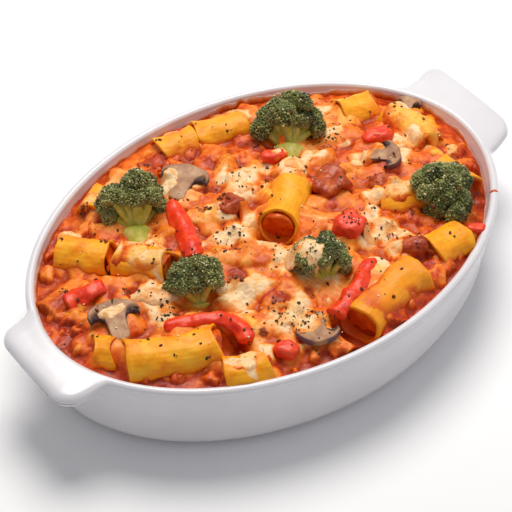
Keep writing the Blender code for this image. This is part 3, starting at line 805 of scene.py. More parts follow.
def blurred(field, size):
    """The field averaged with Gaussian weights of that size in mm, along one axis and then the other."""
    reach = int(3 * size / STEP)
    weights = np.exp(-0.5 * (np.arange(-reach, reach + 1) * STEP / size) ** 2)
    weights /= weights.sum()
    for axis in (0, 1):
        field = np.moveaxis(field, axis, 0)
        padded = np.concatenate((np.repeat(field[:1], reach, 0), field, np.repeat(field[-1:], reach, 0)))
        field = sum(weight * padded[k:k + len(field)] for k, weight in enumerate(weights))
        field = np.moveaxis(field, 0, axis)
    return field


def read(field, x, y):
    """The field between its grid points, by the four nearest weighted by nearness."""
    column = np.clip((x - FIELD_X[0, 0]) / STEP, 0, field.shape[0] - 1.001)
    row = np.clip((y - FIELD_Y[0, 0]) / STEP, 0, field.shape[1] - 1.001)
    i, j = column.astype(int), row.astype(int)
    s, t = column - i, row - j
    return ((field[i, j] * (1 - s) + field[i + 1, j] * s) * (1 - t)
            + (field[i, j + 1] * (1 - s) + field[i + 1, j + 1] * s) * t)


def painted(field, spots, value, soft=1.0):
    """The field drawn to a value inside round spots whose edges wander with noise."""
    wander_x = FIELD_X + 2.6 * rough(FLAT, 7, 11)
    wander_y = FIELD_Y + 2.6 * rough(FLAT, 7, 12)
    for x, y, radius in spots:
        inside = 1 - smooth(0.55, 1.25 + 0.25 * soft, np.hypot(wander_x - x, wander_y - y) / radius)
        field = field + (value - field) * inside
    return field


def tube_top(start, end, radius):
    """Height of a lying round bar over each grid point: its axis plus the half chord, very low beside it."""
    start, end = above_rim(start), above_rim(end)
    way = end - start
    length = math.hypot(way[0], way[1])
    along = ((FIELD_X - start[0]) * way[0] + (FIELD_Y - start[1]) * way[1]) / length
    across = ((FIELD_Y - start[1]) * way[0] - (FIELD_X - start[0]) * way[1]) / length
    half_chord = np.sqrt(np.maximum(radius ** 2 - across ** 2, 0))
    height = start[2] + way[2] * along / length + half_chord
    inside = (along > -0.5) & (along < length + 0.5) & (np.abs(across) < radius)
    return np.where(inside, height, -1e3)


def dome_top(middle, halves, heading=0.0, grid_x=FIELD_X, grid_y=FIELD_Y):
    """Height of an ellipsoid's top over each grid point; a bent grid bends the ellipsoid."""
    c, s = math.cos(heading), math.sin(heading)
    dx, dy = grid_x - middle[0], grid_y - middle[1]
    a, b = (dx * c + dy * s) / halves[0], (dy * c - dx * s) / halves[1]
    inside = 1 - a * a - b * b
    return np.where(inside > 0, RIM + middle[2] + halves[2] * np.sqrt(np.maximum(inside, 0)), -1e3)


def buried_pieces(plain):
    """The plain top raised by buried tubes and lumps of vegetable, with each lump's own share of cheese and
    of browning: at every grid point the highest of them all counts."""
    bent_x = FIELD_X + 1.7 * rough(FLAT, 6, 14)
    bent_y = FIELD_Y + 1.7 * rough(FLAT, 6, 15)
    dice = np.random.default_rng(7)
    lumpy, tone, heat = plain - 2.4, np.zeros_like(plain), np.zeros_like(plain)
    for _ in range(BURIED_TUBES):
        angle, share = dice.uniform(0, TAU), math.sqrt(dice.uniform(0.02, 0.86))
        x, y = 112 * share * math.cos(angle), 79 * share * math.sin(angle)
        heading, length = dice.uniform(0, TAU), dice.uniform(14, 30)
        rise = float(heap_height(x, y)) - RIM - 8.6 + dice.uniform(-0.6, 1.4)
        dx, dy = 0.5 * length * math.cos(heading), 0.5 * length * math.sin(heading)
        lumpy = np.maximum(lumpy, tube_top((x - dx, y - dy, rise), (x + dx, y + dy, rise), 9.0))
    for _ in range(BURIED_LUMPS):
        angle, share = dice.uniform(0, TAU), math.sqrt(dice.uniform(0.0, 1.0))
        x, y = 115 * share * math.cos(angle), 82 * share * math.sin(angle)
        half = dice.uniform(2.4, 8.6) * (1 - 0.35 * share ** 4)
        rise = float(read(plain, np.array(x), np.array(y))) - RIM - 1.5 + dice.uniform(-1.1, 0.9)
        top = dome_top((x, y, rise), (half, half * dice.uniform(0.55, 1), 0.9 + half * 0.27),
                       dice.uniform(0, TAU), bent_x, bent_y)
        shows = top > lumpy
        lumpy = np.where(shows, top, lumpy)
        tone = np.where(shows, dice.normal(0.05, 0.17), tone)
        heat = np.where(shows, dice.uniform(-0.2, 0.45), heat)
    return lumpy, tone, heat


def scooped_free(height):
    """The field lowered in front of each open mouth: a trough along the tube's axis with smooth edges."""
    for (x, y, z), (x1, y1, _), radius in MOUTHS:
        way = np.array((x1 - x, y1 - y)) / math.hypot(x1 - x, y1 - y)
        along = (FIELD_X - x) * way[0] + (FIELD_Y - y) * way[1]
        across = (FIELD_Y - y) * way[0] - (FIELD_X - x) * way[1]
        scoop = smooth(-13, -6, along) * (1 - smooth(2, 5, along))
        scoop = scoop * (1 - smooth(0.5, 1.25, np.abs(across) / radius))
        height = height + np.minimum(RIM + z - 0.75 * radius - height, 0) * scoop
    return height


def heap_fields():
    """The fields that shape and colour the heap's top. Buried tubes and lumps of vegetable raise it, each
    lump with its own share of cheese and browning; the pieces lying on it draw it up round their edges;
    melted cheese evens it out and sauce fills the hollows; its edge lies lower at the near right, and the
    open mouths are scooped free. How deep each point lies in a hollow is kept for painted shade there."""
    plain = heap_height(FIELD_X, FIELD_Y)
    far = np.clip(FIELD_X / HEAP_LONG * HEAP_WAY[0] + FIELD_Y / HEAP_WIDE * HEAP_WAY[1], 0, 1)
    plain = plain + 2.6 * far * smooth(0.70, 0.97, OVAL_SHARE)
    turn = np.arctan2(FIELD_Y / HEAP_WIDE, FIELD_X / HEAP_LONG)
    plain = plain - 4.2 * np.exp(-((turn + 0.52) / 0.42) ** 2) * smooth(0.82, 1.0, OVAL_SHARE)
    lumpy, tone, heat = buried_pieces(plain)
    pieces = raised_by_pieces(np.full_like(plain, -1e3))
    lumpy = lumpy + 0.55 * blurred(np.clip(pieces - lumpy, 0, 6), 2.6)
    melt = 0.52 + 0.16 * rough(FLAT, 16, 21) - 0.30 * smooth(0.88, 0.99, OVAL_SHARE) + tone
    melt = painted(melt, PEACH_SPOTS, 0.62)
    melt = painted(melt, GOLD_SPOTS, 0.80)
    melt = painted(melt, CREAM_SPOTS, 1.0)
    melt = painted(melt, SAUCE_SPOTS, 0.02)
    gold = 0.30 + 0.25 * rough(FLAT, 14, 31) + 0.5 * heat
    gold = painted(gold, PEACH_SPOTS, 0.55)
    gold = painted(gold, CREAM_SPOTS, 0.0)
    gold = painted(gold, GOLD_SPOTS, 1.0)
    toast = painted(0.24 + 0.16 * rough(FLAT, 9, 41) + 0.35 * heat, TOAST_SPOTS, 0.9)
    coarse = lumpy + 0.35 * rough(FLAT, 3.4, 52) + 0.10 * noise(FLAT, 1.4, 53)
    calm = blurred(lumpy, 1.7) + 0.9 + 0.45 * rough(FLAT, 6, 54) + 0.25 * noise(FLAT, 2.6, 55)
    height = coarse + (calm - coarse) * smooth(0.2, 0.8, melt) + 0.4 * np.clip(toast, 0, 1)
    height = scooped_free(height)
    # Deep: how far a point lies below the heap blurred over 4 mm, which the colour uses as painted shade in
    # the hollows
    hollow = blurred(height, 4.0) - height
    deep = smooth(0.1, 1.7, hollow)
    melt = melt - 0.30 * smooth(0.2, 1.4, hollow) + 0.10 * smooth(0.2, 1.4, -hollow)
    return {"height": height, "melt": np.clip(melt, 0, 1), "gold": np.clip(gold, 0, 1),
            "toast": np.clip(toast, 0, 1), "deep": deep}


def heap(fields, finish):
    """The heap's skin: a square grid laid on the disc by x = u sqrt(1 - v^2/2), y = v sqrt(1 - u^2/2), the
    disc stretched to the dish's oval, its height read from the field; rings follow the dish's inside down."""
    u, v = np.meshgrid(np.linspace(-1, 1, HEAP_ROWS), np.linspace(-1, 1, HEAP_COLUMNS), indexing="ij")
    disc_x, disc_y = u * np.sqrt(1 - v * v / 2), v * np.sqrt(1 - u * u / 2)
    angle, share = np.arctan2(disc_y, disc_x), np.hypot(disc_x, disc_y)
    x, y = oval(angle, -2.7, share)
    top = together(x, y, read(fields["height"], x, y))
    rows, columns = u.shape
    index = np.arange(rows * columns).reshape(rows, columns)
    around = np.r_[index[:-1, 0], index[-1, :-1], index[:0:-1, -1], index[0, :0:-1]]
    ring_angle = angle.ravel()[around]
    points, faces, last = [top.reshape(-1, 3)], [grid_faces(rows, columns, False, False)], around
    for offset, z in INNER_WALL:
        ring_x, ring_y = oval(ring_angle, offset)
        start = sum(len(block) for block in points)
        points.append(together(ring_x, ring_y, z))
        ring = start + np.arange(len(around))
        faces.append(together(last, ring, np.roll(ring, -1), np.roll(last, -1)))
        last = ring
    points.append(np.array([[0.0, 0.0, INNER_WALL[-1][1]]]))
    pole = sum(len(block) for block in points) - 1
    faces.append(together(last, pole, np.roll(last, -1)))
    points = np.vstack(points)
    x, y, _ = points.T
    marks = {name: read(fields[name], x, y) for name in ("melt", "gold", "toast", "deep")}
    return piece("baked_heap", (points, faces), finish, ["pasta_bed"], marks)


def stains(points, fields):
    """How much melted cheese, gold and toast lie on points of a piece, and how wet with sauce they are: the
    fields read above them, cheese only where they face up, and wet rising towards and below the heap."""
    x, y, z = points.T
    bed = read(fields["height"], x, y)
    wet = 1 - smooth(-2.5, 3.2, z - bed)
    toast = read(fields["toast"], x, y) * smooth(1.0, 6.0, z - bed)
    melt, gold = (read(fields[name], x, y) for name in ("melt", "gold"))
    return {"melt": melt, "gold": gold, "toast": toast, "wet": wet}


# ---- pasta

def rigatoni_shape(start, end, radius, bend, seed):
    """A ribbed tube as a surface of the angle round its axis and the way along its wall: out along the skin,
    over the cut rim, back through the bore and over the other rim. The axis bows sideways by a parabola; the
    radius has shallow ribs, slow dents and a slight flattening; both cuts are askew."""
    start, end = above_rim(start), above_rim(end)
    around = all_round(88)
    skin, bore = np.linspace(0, 1, SKIN_ROWS), np.linspace(1, 0, BORE_ROWS)
    rim = np.array((0.15, 0.5, 0.85))
    station = np.r_[skin, np.ones(3), bore, np.zeros(3)]
    depth = np.r_[0 * skin, rim, np.ones(BORE_ROWS), rim[::-1]]
    bulge = np.r_[0 * skin, np.sin(rim * math.pi), 0 * bore, -np.sin(rim * math.pi)]
    axis, side, up = level_axes(end - start)
    length = np.linalg.norm(end - start)
    t, phi = station[:, None], around[None, :]
    skew = 0.9 * np.cos(phi + seed) * (2 * t - 1) + 0.5 * np.cos(3 * phi + 2 * seed) * (2 * t - 1) ** 3
    near_cut, far_cut = SLANTS.get(seed, (0, 0))
    skew = skew + (near_cut * (1 - t) ** 3 - far_cut * t ** 3) * np.sin(phi)
    along = t * length + skew + 0.5 * bulge[:, None]
    middle = bend * 4 * t * (1 - t)
    ribs = 0.05 * np.cos(TUBE_RIBS * phi + 0.5 * t) * (1 - depth[:, None])
    probe = together(np.cos(phi) * radius, np.sin(phi) * radius, along + 40 * seed)
    dents = 0.75 * rough(probe, 8, seed)
    flare = 0.35 * (2 * t - 1) ** 6
    reach = radius - TUBE_WALL * depth[:, None] + ribs + dents + flare
    flatten = 0.90 + 0.05 * math.sin(seed)
    return (start + axis * along[..., None] + side * (middle + reach * np.cos(phi))[..., None]
            + up * (reach * flatten * np.sin(phi))[..., None])


def rigatoni(number, row, fields, finish):
    """One tube with its marks: no cheese in the bore, which is wet with sauce."""
    rings = rigatoni_shape(*row, number)
    rows, columns, _ = rings.shape
    points = rings.reshape(-1, 3)
    marks = stains(points, fields)
    bore = np.repeat(np.r_[np.zeros(SKIN_ROWS + 1), np.ones(BORE_ROWS + 2), np.zeros(3)], columns)
    marks["wet"] = np.maximum(np.clip(marks["wet"] + STAINED.get(number, 0), 0, 1), 0.8 * bore)
    marks["melt"] = marks["melt"] * (1 - bore) * RIGATONI_CHEESE.get(number, 0.45)
    node = f"rigatoni_{number:02d}"
    shape = (points, [grid_faces(rows, columns, wrap_rows=True)])
    piece(f"tube_{number:02d}", shape, finish, [node], marks)
    return points


def tube_filling(number, row):
    """Sauce standing in both ends of a tube: a lumpy disc across the bore, its face pulled in at the middle,
    as a closed lens of rings."""
    start, end = above_rim(row[0]), above_rim(row[1])
    axis, side, up = level_axes(end - start)
    shapes, near_depth = [], 0.5 if number == 7 else 2.4  # the middle tube is full up to its near mouth
    for near, inward, low in ((start, axis, near_depth), (end, -axis, 3.4)):
        face, back = np.linspace(0.06, 1, 12), np.linspace(0.9, 0.06, 5)
        share = np.r_[face, back][:, None]
        front = np.r_[np.ones(len(face)), 0 * back][:, None]
        phi = all_round(40)[None, :]
        reach = (row[2] - TUBE_WALL + 0.5) * share
        flat = near + side * (reach * np.cos(phi))[..., None] + up * (reach * 0.95 * np.sin(phi))[..., None]
        bulge = 0.9 * rough(flat, 4.5, number + 60) - 1.4 * np.sin(phi) * share
        depth = np.where(front > 0, low + bulge, low + 4.0)
        shapes.append(closed_rings(flat + inward * depth[..., None]))
    return joined(shapes)


# ---- vegetables

def golden_directions(count, lowest):
    """Directions spread over a cap of the sphere: heights in equal steps, turned by the golden angle."""
    index = np.arange(count) + 0.5
    z = 1 - (1 - lowest) * index / count
    angle = index * math.pi * (3 - math.sqrt(5))
    ring = np.sqrt(1 - z * z)
    return together(ring * np.cos(angle), ring * np.sin(angle), z)


def basis_to(direction):
    """Rows side, across and direction of a turned set of axes."""
    other = np.array((1.0, 0, 0)) if abs(direction[0]) < 0.8 else np.array((0, 1.0, 0))
    side = unit(np.cross(other, direction))
    return np.stack((side, np.cross(direction, side), direction))


def icosahedron():
    """Twelve corners at the cyclic permutations of (0, 1, golden ratio), scaled to unit radius."""
    g = (1 + math.sqrt(5)) / 2
    corners = unit(np.array([
        (-1, g, 0), (1, g, 0), (-1, -g, 0), (1, -g, 0), (0, -1, g), (0, 1, g), (0, -1, -g), (0, 1, -g),
        (g, 0, -1), (g, 0, 1), (-g, 0, -1), (-g, 0, 1),
    ], float))
    faces = np.array([
        (0, 11, 5), (0, 5, 1), (0, 1, 7), (0, 7, 10), (0, 10, 11), (1, 5, 9), (5, 11, 4), (11, 10, 2),
        (10, 7, 6), (7, 1, 8), (3, 9, 4), (3, 4, 2), (3, 2, 6), (3, 6, 8), (3, 8, 9), (4, 9, 5), (2, 4, 11),
        (6, 2, 10), (8, 6, 7), (9, 8, 1),
    ])
    return corners, faces


def grains(centres, axes, sizes, jitter, dice):
    """Many small closed bits: an icosahedron for each centre, scaled along its own three axes, its corners
    moved in and out by a random share."""
    corners, faces = icosahedron()
    count = len(centres)
    scale = 1 + jitter * dice.uniform(-1, 1, (count, 12, 1))
    local = corners[None] * scale * sizes[:, None, :]
    points = centres[:, None, :] + np.einsum("nki,nij->nkj", local, axes)
    blocks = (faces[None] + 12 * np.arange(count)[:, None, None]).reshape(-1, 3)
    return points.reshape(-1, 3), [blocks]


def tapered_rod(line, radii, sides, seed):
    """A closed rod along a line with a radius at each point and slow dents round it."""
    _, side, up = level_axes(np.gradient(line, axis=0))
    phi = all_round(sides)
    circle = side[:, None] * np.cos(phi)[None, :, None] + up[:, None] * np.sin(phi)[None, :, None]
    rings = line[:, None] + circle * radii[:, None, None]
    rings = rings + circle * (radii[:, None] * 0.12 * noise(rings, 3.0, seed))[..., None]
    return closed_rings(rings)


def ball(middle, halves, turn, seed, bumps=0.12, size=3.0, rows=14, columns=20):
    """A closed lumpy ball: an ellipsoid whose reach is scaled by noise."""
    polar = np.linspace(0.10, math.pi - 0.10, rows)[:, None]
    phi = all_round(columns)[None, :]
    out = together(np.sin(polar) * np.cos(phi), np.sin(polar) * np.sin(phi), np.cos(polar))
    local = out * halves
    local = local * (1 + bumps * rough(local + 50 * seed, size, seed))[..., None]
    return closed_rings(middle + local @ turn)


def broccoli(number, row, finish):
    """A floret: a stalk forks into arching branches, each ends in a small domed head, and every head is set
    all over with buds. Heads are spread over the upper half of the crown by the golden angle."""
    dice = np.random.default_rng(100 + number)
    middle, foot = above_rim(row[0]), above_rim(row[1])
    crown, stalk, length = row[2:]
    up = unit(middle - foot)
    axes = basis_to(up)
    count = int(15 + crown * 0.7)
    heads = golden_directions(count, -0.22)
    heads += dice.normal(0, 0.09, heads.shape)
    heads = unit(heads)
    reach = crown * (0.77 + 0.10 * dice.standard_normal(count))
    squash = np.array((1.06, 1.06, 0.92))
    centres = middle - up * crown * 0.06 + (heads * squash * reach[:, None]) @ axes
    sizes = crown * dice.uniform(0.25, 0.38, count)
    fork = middle - up * crown * 0.95
    stems, cores, buds, bud_tips = [], [], [], []
    bottom = middle - up * min(length, 0.95 * np.linalg.norm(middle - foot))
    trunk = curve([bottom, bottom * 0.5 + fork * 0.5, fork + up * 2], 8)
    stems.append(tapered_rod(trunk, np.linspace(stalk * 0.85, stalk * 1.0, 8), 18, number))
    for k in range(count):
        way = unit(centres[k] - fork)
        bow = fork + way * 0.3 * crown + up * crown * 0.10
        line = curve([fork - up * 1.5, bow, centres[k]], 8)
        thick = 0.33 * stalk * (1.15 - 0.3 * dice.uniform())
        stems.append(tapered_rod(line, np.linspace(thick * 1.2, thick * 0.9, 8), 10, number * 40 + k))
        out = unit(centres[k] - middle + up * crown * 0.35)
        turn = basis_to(out)
        size = sizes[k]
        halves = np.array((size, size, size * 0.86))
        cores.append(ball(centres[k], halves, turn, number * 50 + k, 0.10, size * 0.8, 10, 16))
        bud_count = int(44 * size)
        way_out = golden_directions(bud_count, -0.45)
        way_out = unit(way_out + dice.normal(0, 0.05, way_out.shape))
        lumps = 1 + 0.22 * rough(way_out * size + 30 * k, size * 0.7, number)
        place = centres[k] + (way_out * np.array((size, size, size * 0.88)) * lumps[:, None]) @ turn
        bud_axes = np.stack([basis_to(direction) for direction in unit(way_out @ turn)])
        width = dice.uniform(0.32, 0.78, bud_count)
        tall = width * dice.uniform(0.9, 1.9, bud_count)
        buds.append(grains(place, bud_axes, together(width, width, tall), 0.2, dice))
        facing = (way_out @ turn) @ up
        tips = np.clip(0.30 * (1 - facing) + 0.55 * (dice.uniform(size=bud_count) > 0.84)
                       + 0.45 * dice.uniform(size=bud_count) * (dice.uniform() > 0.55), 0, 1)
        bud_tips.append(np.repeat(tips, 12))
    stem_shape, core_shape, bud_shape = joined(stems), joined(cores), joined(buds)
    shape = joined([stem_shape, core_shape, bud_shape])
    stem_green = smooth(0.05, 0.75, (stem_shape[0] - middle) @ up / crown + 0.15)
    on_stems, on_cores, on_buds = (np.ones(len(part[0])) for part in (stem_shape, core_shape, bud_shape))
    bud = np.r_[0.42 * stem_green, 0.92 * on_cores, on_buds]
    tip = np.r_[0 * on_stems, 0.1 * on_cores, np.concatenate(bud_tips)]
    piece(f"floret_{number}", shape, finish, [f"broccoli_{number}"], {"bud": bud, "tip": tip})
    return shape[0]


def pepper_strip(number, row, finish):
    """A strip of pepper: a flat rounded section carried along a curve, hollow on its inner face, its ends
    rounded in, its edges slightly wavy."""
    steps = 64
    line = curve([above_rim(point) for point in row[0]], steps)
    line[:, 2] += 0.8 + 0.5 * np.sin(np.linspace(0, 9, steps) + number)
    _, side, up = level_axes(np.gradient(line, axis=0))
    tilt = 0.35 * np.sin(np.linspace(0, 5, steps) + 2 * number)[:, None]
    side, up = side * np.cos(tilt) + up * np.sin(tilt), up * np.cos(tilt) - side * np.sin(tilt)
    share = np.linspace(-1, 1, steps)
    taper = np.sqrt(np.clip(1 - np.abs(share) ** 16, 0.02, 1))
    ragged = 1 + 0.12 * noise(together(share * 30, 9.0 * number, 0.0), 5, number)
    half = row[1] / 2 * 1.14 * taper * ragged
    thick = row[2] / 2 * 0.9 * (0.35 + 0.65 * taper)
    phi = all_round(36)
    across, rise = powered(np.cos(phi), 0.7), powered(np.sin(phi), 0.8)
    crease = -1.3 * across ** 2 + 0.25 * np.cos(5 * across)
    rings = (line[:, None] + side[:, None] * (half[:, None] * across)[..., None]
             + up[:, None] * (thick[:, None] * rise + crease)[..., None])
    rings = rings + up[:, None] * (0.7 * rough(rings, 6, number + 70))[..., None]
    rings = rings + side[:, None] * (0.3 * noise(rings, 9, number + 75))[..., None]
    points, faces = closed_rings(rings)
    edge = np.r_[np.tile(smooth(0.75, 1.0, np.abs(across)), steps), 1, 1]
    piece(f"pepper_strip_{number}", (points, faces), finish, [f"pepper_{number}"],
          {"cut": 0.7 * edge})
    return points


def chunk(name, node, row, finish, seed, bumps, squareness):
    """A cut piece: a superellipsoid, which powers of sine and cosine square off, dented by noise, its top
    sagging a little to one side."""
    middle, halves, heading = above_rim(row[0]), np.array(row[1]), math.radians(row[2])
    polar = np.linspace(0.09, math.pi - 0.09, 30)[:, None]
    phi = all_round(44)[None, :]
    flat = powered(np.sin(polar), squareness)
    local = together(flat * powered(np.cos(phi), squareness), flat * powered(np.sin(phi), squareness),
                     powered(np.cos(polar), squareness)) * halves
    local = local * (1 + bumps * rough(local + 31 * seed, 5.5, seed))[..., None]
    local[..., 2] += 0.10 * local[..., 0] * math.sin(seed) - 0.06 * local[..., 1]
    c, s = math.cos(heading), math.sin(heading)
    turn = np.array(((c, s, 0), (-s, c, 0), (0, 0, 1)))
    points, faces = closed_rings(middle + local @ turn)
    edge = smooth(0.55, 1.0, np.abs((points - middle) @ turn.T / halves).max(axis=1)) * 0.4
    piece(name, (points, faces), finish, [node], {"cut": edge})
    return points


def mushroom_slice(number, row, finish):
    """A lengthwise slice as a surface of the place across it and the way round it: up the front from the
    lower outline to the domed top and down the back. The lower outline drops to the stalk's end in the middle
    and arches up into the gills beside it. The slice is thin, warped, and sunk where the gills are."""
    middle, heading, lean, half = above_rim(row[0]), math.radians(row[1]), math.radians(row[2]), row[3]
    level = math.cos(lean)
    stalk = np.array((math.cos(heading) * level, math.sin(heading) * level, -math.sin(lean)))
    side = unit(np.cross(stalk, (0, 0, 1)))
    normal = np.cross(side, stalk)
    normal = normal if normal[2] > 0 else -normal
    u = -np.cos(np.linspace(0, math.pi, 110))
    u = u - 0.045 * np.sin(3 * np.pi * u)
    u = np.clip(u, -0.999, 0.999)[:, None]
    top = 0.82 * np.sqrt(1 - np.abs(u) ** 2.3) + 0.02 * np.sin(7 * u + number)
    beside = smooth(0.30, 0.40, np.abs(u))
    arch = -0.26 + 0.36 * np.sin(np.clip((np.abs(u) - 0.36) / 0.60, 0, 1) * math.pi) ** 0.8
    arch = np.where(np.abs(u) > 0.9, arch + (top - arch) * smooth(0.9, 1.0, np.abs(u)), arch)
    bottom = -1.06 - 0.05 * np.cos(9 * u) + (arch + 1.06) * beside
    bottom = np.minimum(bottom, top - 0.01)
    climb, drop = np.linspace(0, 1, 30), np.linspace(1, 0, 30)[1:-1]
    loop = np.r_[climb, drop][None, :]
    front = np.r_[np.ones(len(climb)), -np.ones(len(drop))][None, :]
    rise = np.sin(loop * math.pi / 2) ** 2
    v = bottom + (top - bottom) * rise
    edge = np.clip(np.minimum(rise, 1 - rise) * (top - bottom) * half / 1.1, 0, 1)
    puff = np.sqrt(1 - (1 - edge) ** 2) * np.sqrt(np.clip((1 - np.abs(u)) * 9, 0, 1))
    gill = beside * (1 - smooth(0.10, 0.34, (v - arch))) * (1 - smooth(0.93, 0.99, np.abs(u)))
    comb = 0.16 * np.sin(58 * np.arctan2(u, v + 1.3))
    depth = MUSHROOM_THICK / 2 * puff * (1 - 0.32 * gill) + gill * comb * (puff > 0.4)
    spot = together(u * half, v * half, 20.0 * number)
    warp = 0.09 * half * (u ** 2) * 1.2 + 0.5 * rough(spot, 7, number)
    points = (middle + side * (u * half)[..., None] - stalk * (v * half)[..., None]
              + normal * (front * depth + warp)[..., None])
    skin = 1 - smooth(0.02, 0.12, top - v)
    whole = closed_rings(points)
    marks = {"gill": np.r_[(gill * smooth(0.1, 0.5, gill)).ravel(), 0, 0],
             "skin": np.r_[(skin * beside ** 0.1).ravel(), 1, 1]}
    piece(f"mushroom_slice_{number}", whole, finish, [f"mushroom_{number}"], marks)
    return whole[0]


# ---- cheese over the pieces, and what is scattered

def raised_by_pieces(height):
    """The heap's height with the pasta, vegetables and mushrooms that lie on it, as plain bars and domes."""
    for start, end, radius, _ in RIGATONI:
        height = np.maximum(height, tube_top(start, end, radius * 0.97))
    for line, width, thick in PEPPER_STRIPS:
        low = np.array(line) - (0, 0, width / 2 - thick / 2 - 0.6)
        for start, end in zip(low, low[1:]):
            height = np.maximum(height, tube_top(start, end, width / 2))
    for _, middle, halves, heading in PEPPER_PIECES + TOMATO_PIECES:
        height = np.maximum(height, dome_top(middle, halves, math.radians(heading)))
    for middle, heading, _, half in MUSHROOMS:
        height = np.maximum(height, dome_top((*middle[:2], middle[2] - 2.0), (half, half * 0.75, 4.2),
                                             math.radians(heading + 90)))
    return height


def with_tops(height, clouds):
    """The field raised to the highest of the points over each of its cells, each point counting for the nine
    cells round it."""
    height = height.copy()
    for points in clouds:
        for step_x in (-STEP, 0, STEP):
            for step_y in (-STEP, 0, STEP):
                column = np.round((points[:, 0] + step_x - FIELD_X[0, 0]) / STEP).astype(int)
                line = np.round((points[:, 1] + step_y - FIELD_Y[0, 0]) / STEP).astype(int)
                np.maximum.at(height, (np.clip(column, 0, height.shape[0] - 1),
                                       np.clip(line, 0, height.shape[1] - 1)), points[:, 2])
    return height


def cheese_veil(index, row, drape, marks_from, finish):
    """A sheet of melted cheese in polar form: the outline's radius wanders with noise and reaches out in
    fingers; the top follows the smoothed pieces below plus a thickness that falls to nothing at the edge; the
    underside is the same sheet set lower."""
    (x0, y0), long, short, heading, thick, golden = row
    phi = all_round(VEIL_SPOKES)[None, :]
    share = np.linspace(0.04, 1, VEIL_RINGS)[:, None]
    round_trip = together(np.cos(phi) * 2.2, np.sin(phi) * 2.2, 9.0 * index)
    wander = 1 + 0.34 * rough(round_trip, 1.9, 80 + index, 2) + 0.06 * noise(round_trip, 0.5, 84)
    c, s = math.cos(math.radians(heading)), math.sin(math.radians(heading))
    a, b = long * share * wander * np.cos(phi), short * share * wander * np.sin(phi)
    x, y = x0 + a * c - b * s, y0 + a * s + b * c
    spot = together(x, y, 0.0)
    body = (1 - share ** 3) ** 0.7 * (1 + 0.35 * rough(spot, 5, 81)) * thick
    ground = read(drape, x, y)
    top = together(x, y, ground + body - 0.5 + 0.25 * rough(spot, 2.4, 82))
    under = together(x, y, ground - 1.6)[::-3]
    points, faces = closed_rings(np.concatenate((top, under)))
    x, y, _ = points.T
    outer = np.repeat(smooth(0.40, 0.97, share.ravel()), VEIL_SPOKES)
    outer = np.r_[outer, np.ones(len(points) - len(outer))]
    wander = rough(points * (1, 1, 0), 6, 83)
    fade = 0.94 + 0.14 * wander
    fade = fade + (np.maximum(0.85 * read(marks_from["melt"], x, y), 0.9 * (golden == 0)) - fade) * outer
    gold = golden + 0.25 * wander
    gold = np.clip(gold + (read(marks_from["gold"], x, y) * (golden > 0) - gold) * outer, 0, 1)
    marks = {"melt": fade, "gold": gold, "toast": 0.8 * read(marks_from["toast"], x, y), "deep": 0 * x}
    node = POOL_VEILS.get(index)
    piece(f"cheese_veil_{index + 1:02d}", (points, faces), finish, [node] if node else (), marks)
    return points[:VEIL_RINGS * VEIL_SPOKES]


def surface_axes(surface, x, y, spin):
    """Axes at points of the surface: along, across, and its normal from the slopes, turned by the spin."""
    slope_x = (read(surface, x + 0.7, y) - read(surface, x - 0.7, y)) / 1.4
    slope_y = (read(surface, x, y + 0.7) - read(surface, x, y - 0.7)) / 1.4
    normal = unit(together(-np.clip(slope_x, -2, 2), -np.clip(slope_y, -2, 2), 1.0))
    along = together(np.cos(spin), np.sin(spin), 0.0)
    along = unit(along - normal * (along * normal).sum(axis=-1, keepdims=True))
    return np.stack((along, np.cross(normal, along), normal), axis=1)


def spread(count, dice, limit=0.93):
    """Random places evenly over the oval inside the wall."""
    angle, share = dice.uniform(0, TAU, count), np.sqrt(dice.uniform(0, limit ** 2, count))
    return oval(angle, -4.0, share)


def scatter(name, count, surface, finish, dice, low, high, flat, lift, clusters=(), keep=None):
    """Small bits lying on the surface, one mesh for the kind: random places, some gathered in clusters, each
    bit longer than wide and turned at random in the surface's slope."""
    x, y = spread(count, dice)
    if clusters:
        chosen = dice.integers(0, len(clusters), count // 2)
        table = np.array(clusters, float)[chosen]
        reach = table[:, 2] * np.sqrt(dice.uniform(0, 1, len(chosen)))
        angle = dice.uniform(0, TAU, len(chosen))
        x[:len(chosen)] = table[:, 0] + reach * np.cos(angle)
        y[:len(chosen)] = table[:, 1] + reach * np.sin(angle)
    if keep is not None:
        kept = keep(x, y, dice)
        x, y = x[kept], y[kept]
    axes = surface_axes(surface, x, y, dice.uniform(0, TAU, len(x)))
    size = dice.uniform(low, high, len(x))
    sizes = together(size, size * dice.uniform(0.45, 0.9, len(x)), size * flat)
    centres = together(x, y, read(surface, x, y) + lift)
    return piece(name, grains(centres, axes, sizes, 0.3, dice), finish, ())


def sauce_bits(surface, finish, dice, keep):
    """Small lumps of cooked tomato and onion in the sauce, one mesh of dented balls."""
    x, y = spread(520, dice, 0.96)
    kept = keep(x, y, dice)
    x, y = x[kept][:SAUCE_BITS], y[kept][:SAUCE_BITS]
    z = read(surface, x, y)
    shapes = []
    for k in range(len(x)):
        size = dice.uniform(1.6, 3.6)
        turn = basis_to(unit(dice.normal(size=3)))
        halves = np.array((size, size * dice.uniform(0.6, 0.9), size * dice.uniform(0.5, 0.8)))
        middle = np.array((x[k], y[k], z[k] - 0.55 * size))
        shapes.append(ball(middle, halves, turn, k, 0.36, 2.0, BIT_ROWS, BIT_COLUMNS))
    points, faces = joined(shapes)
    tint = np.repeat(dice.uniform(0, 0.6, len(x)), BIT_ROWS * BIT_COLUMNS + 2)
    return piece("tomato_bits", (points, faces), finish, (), {"deep": tint})


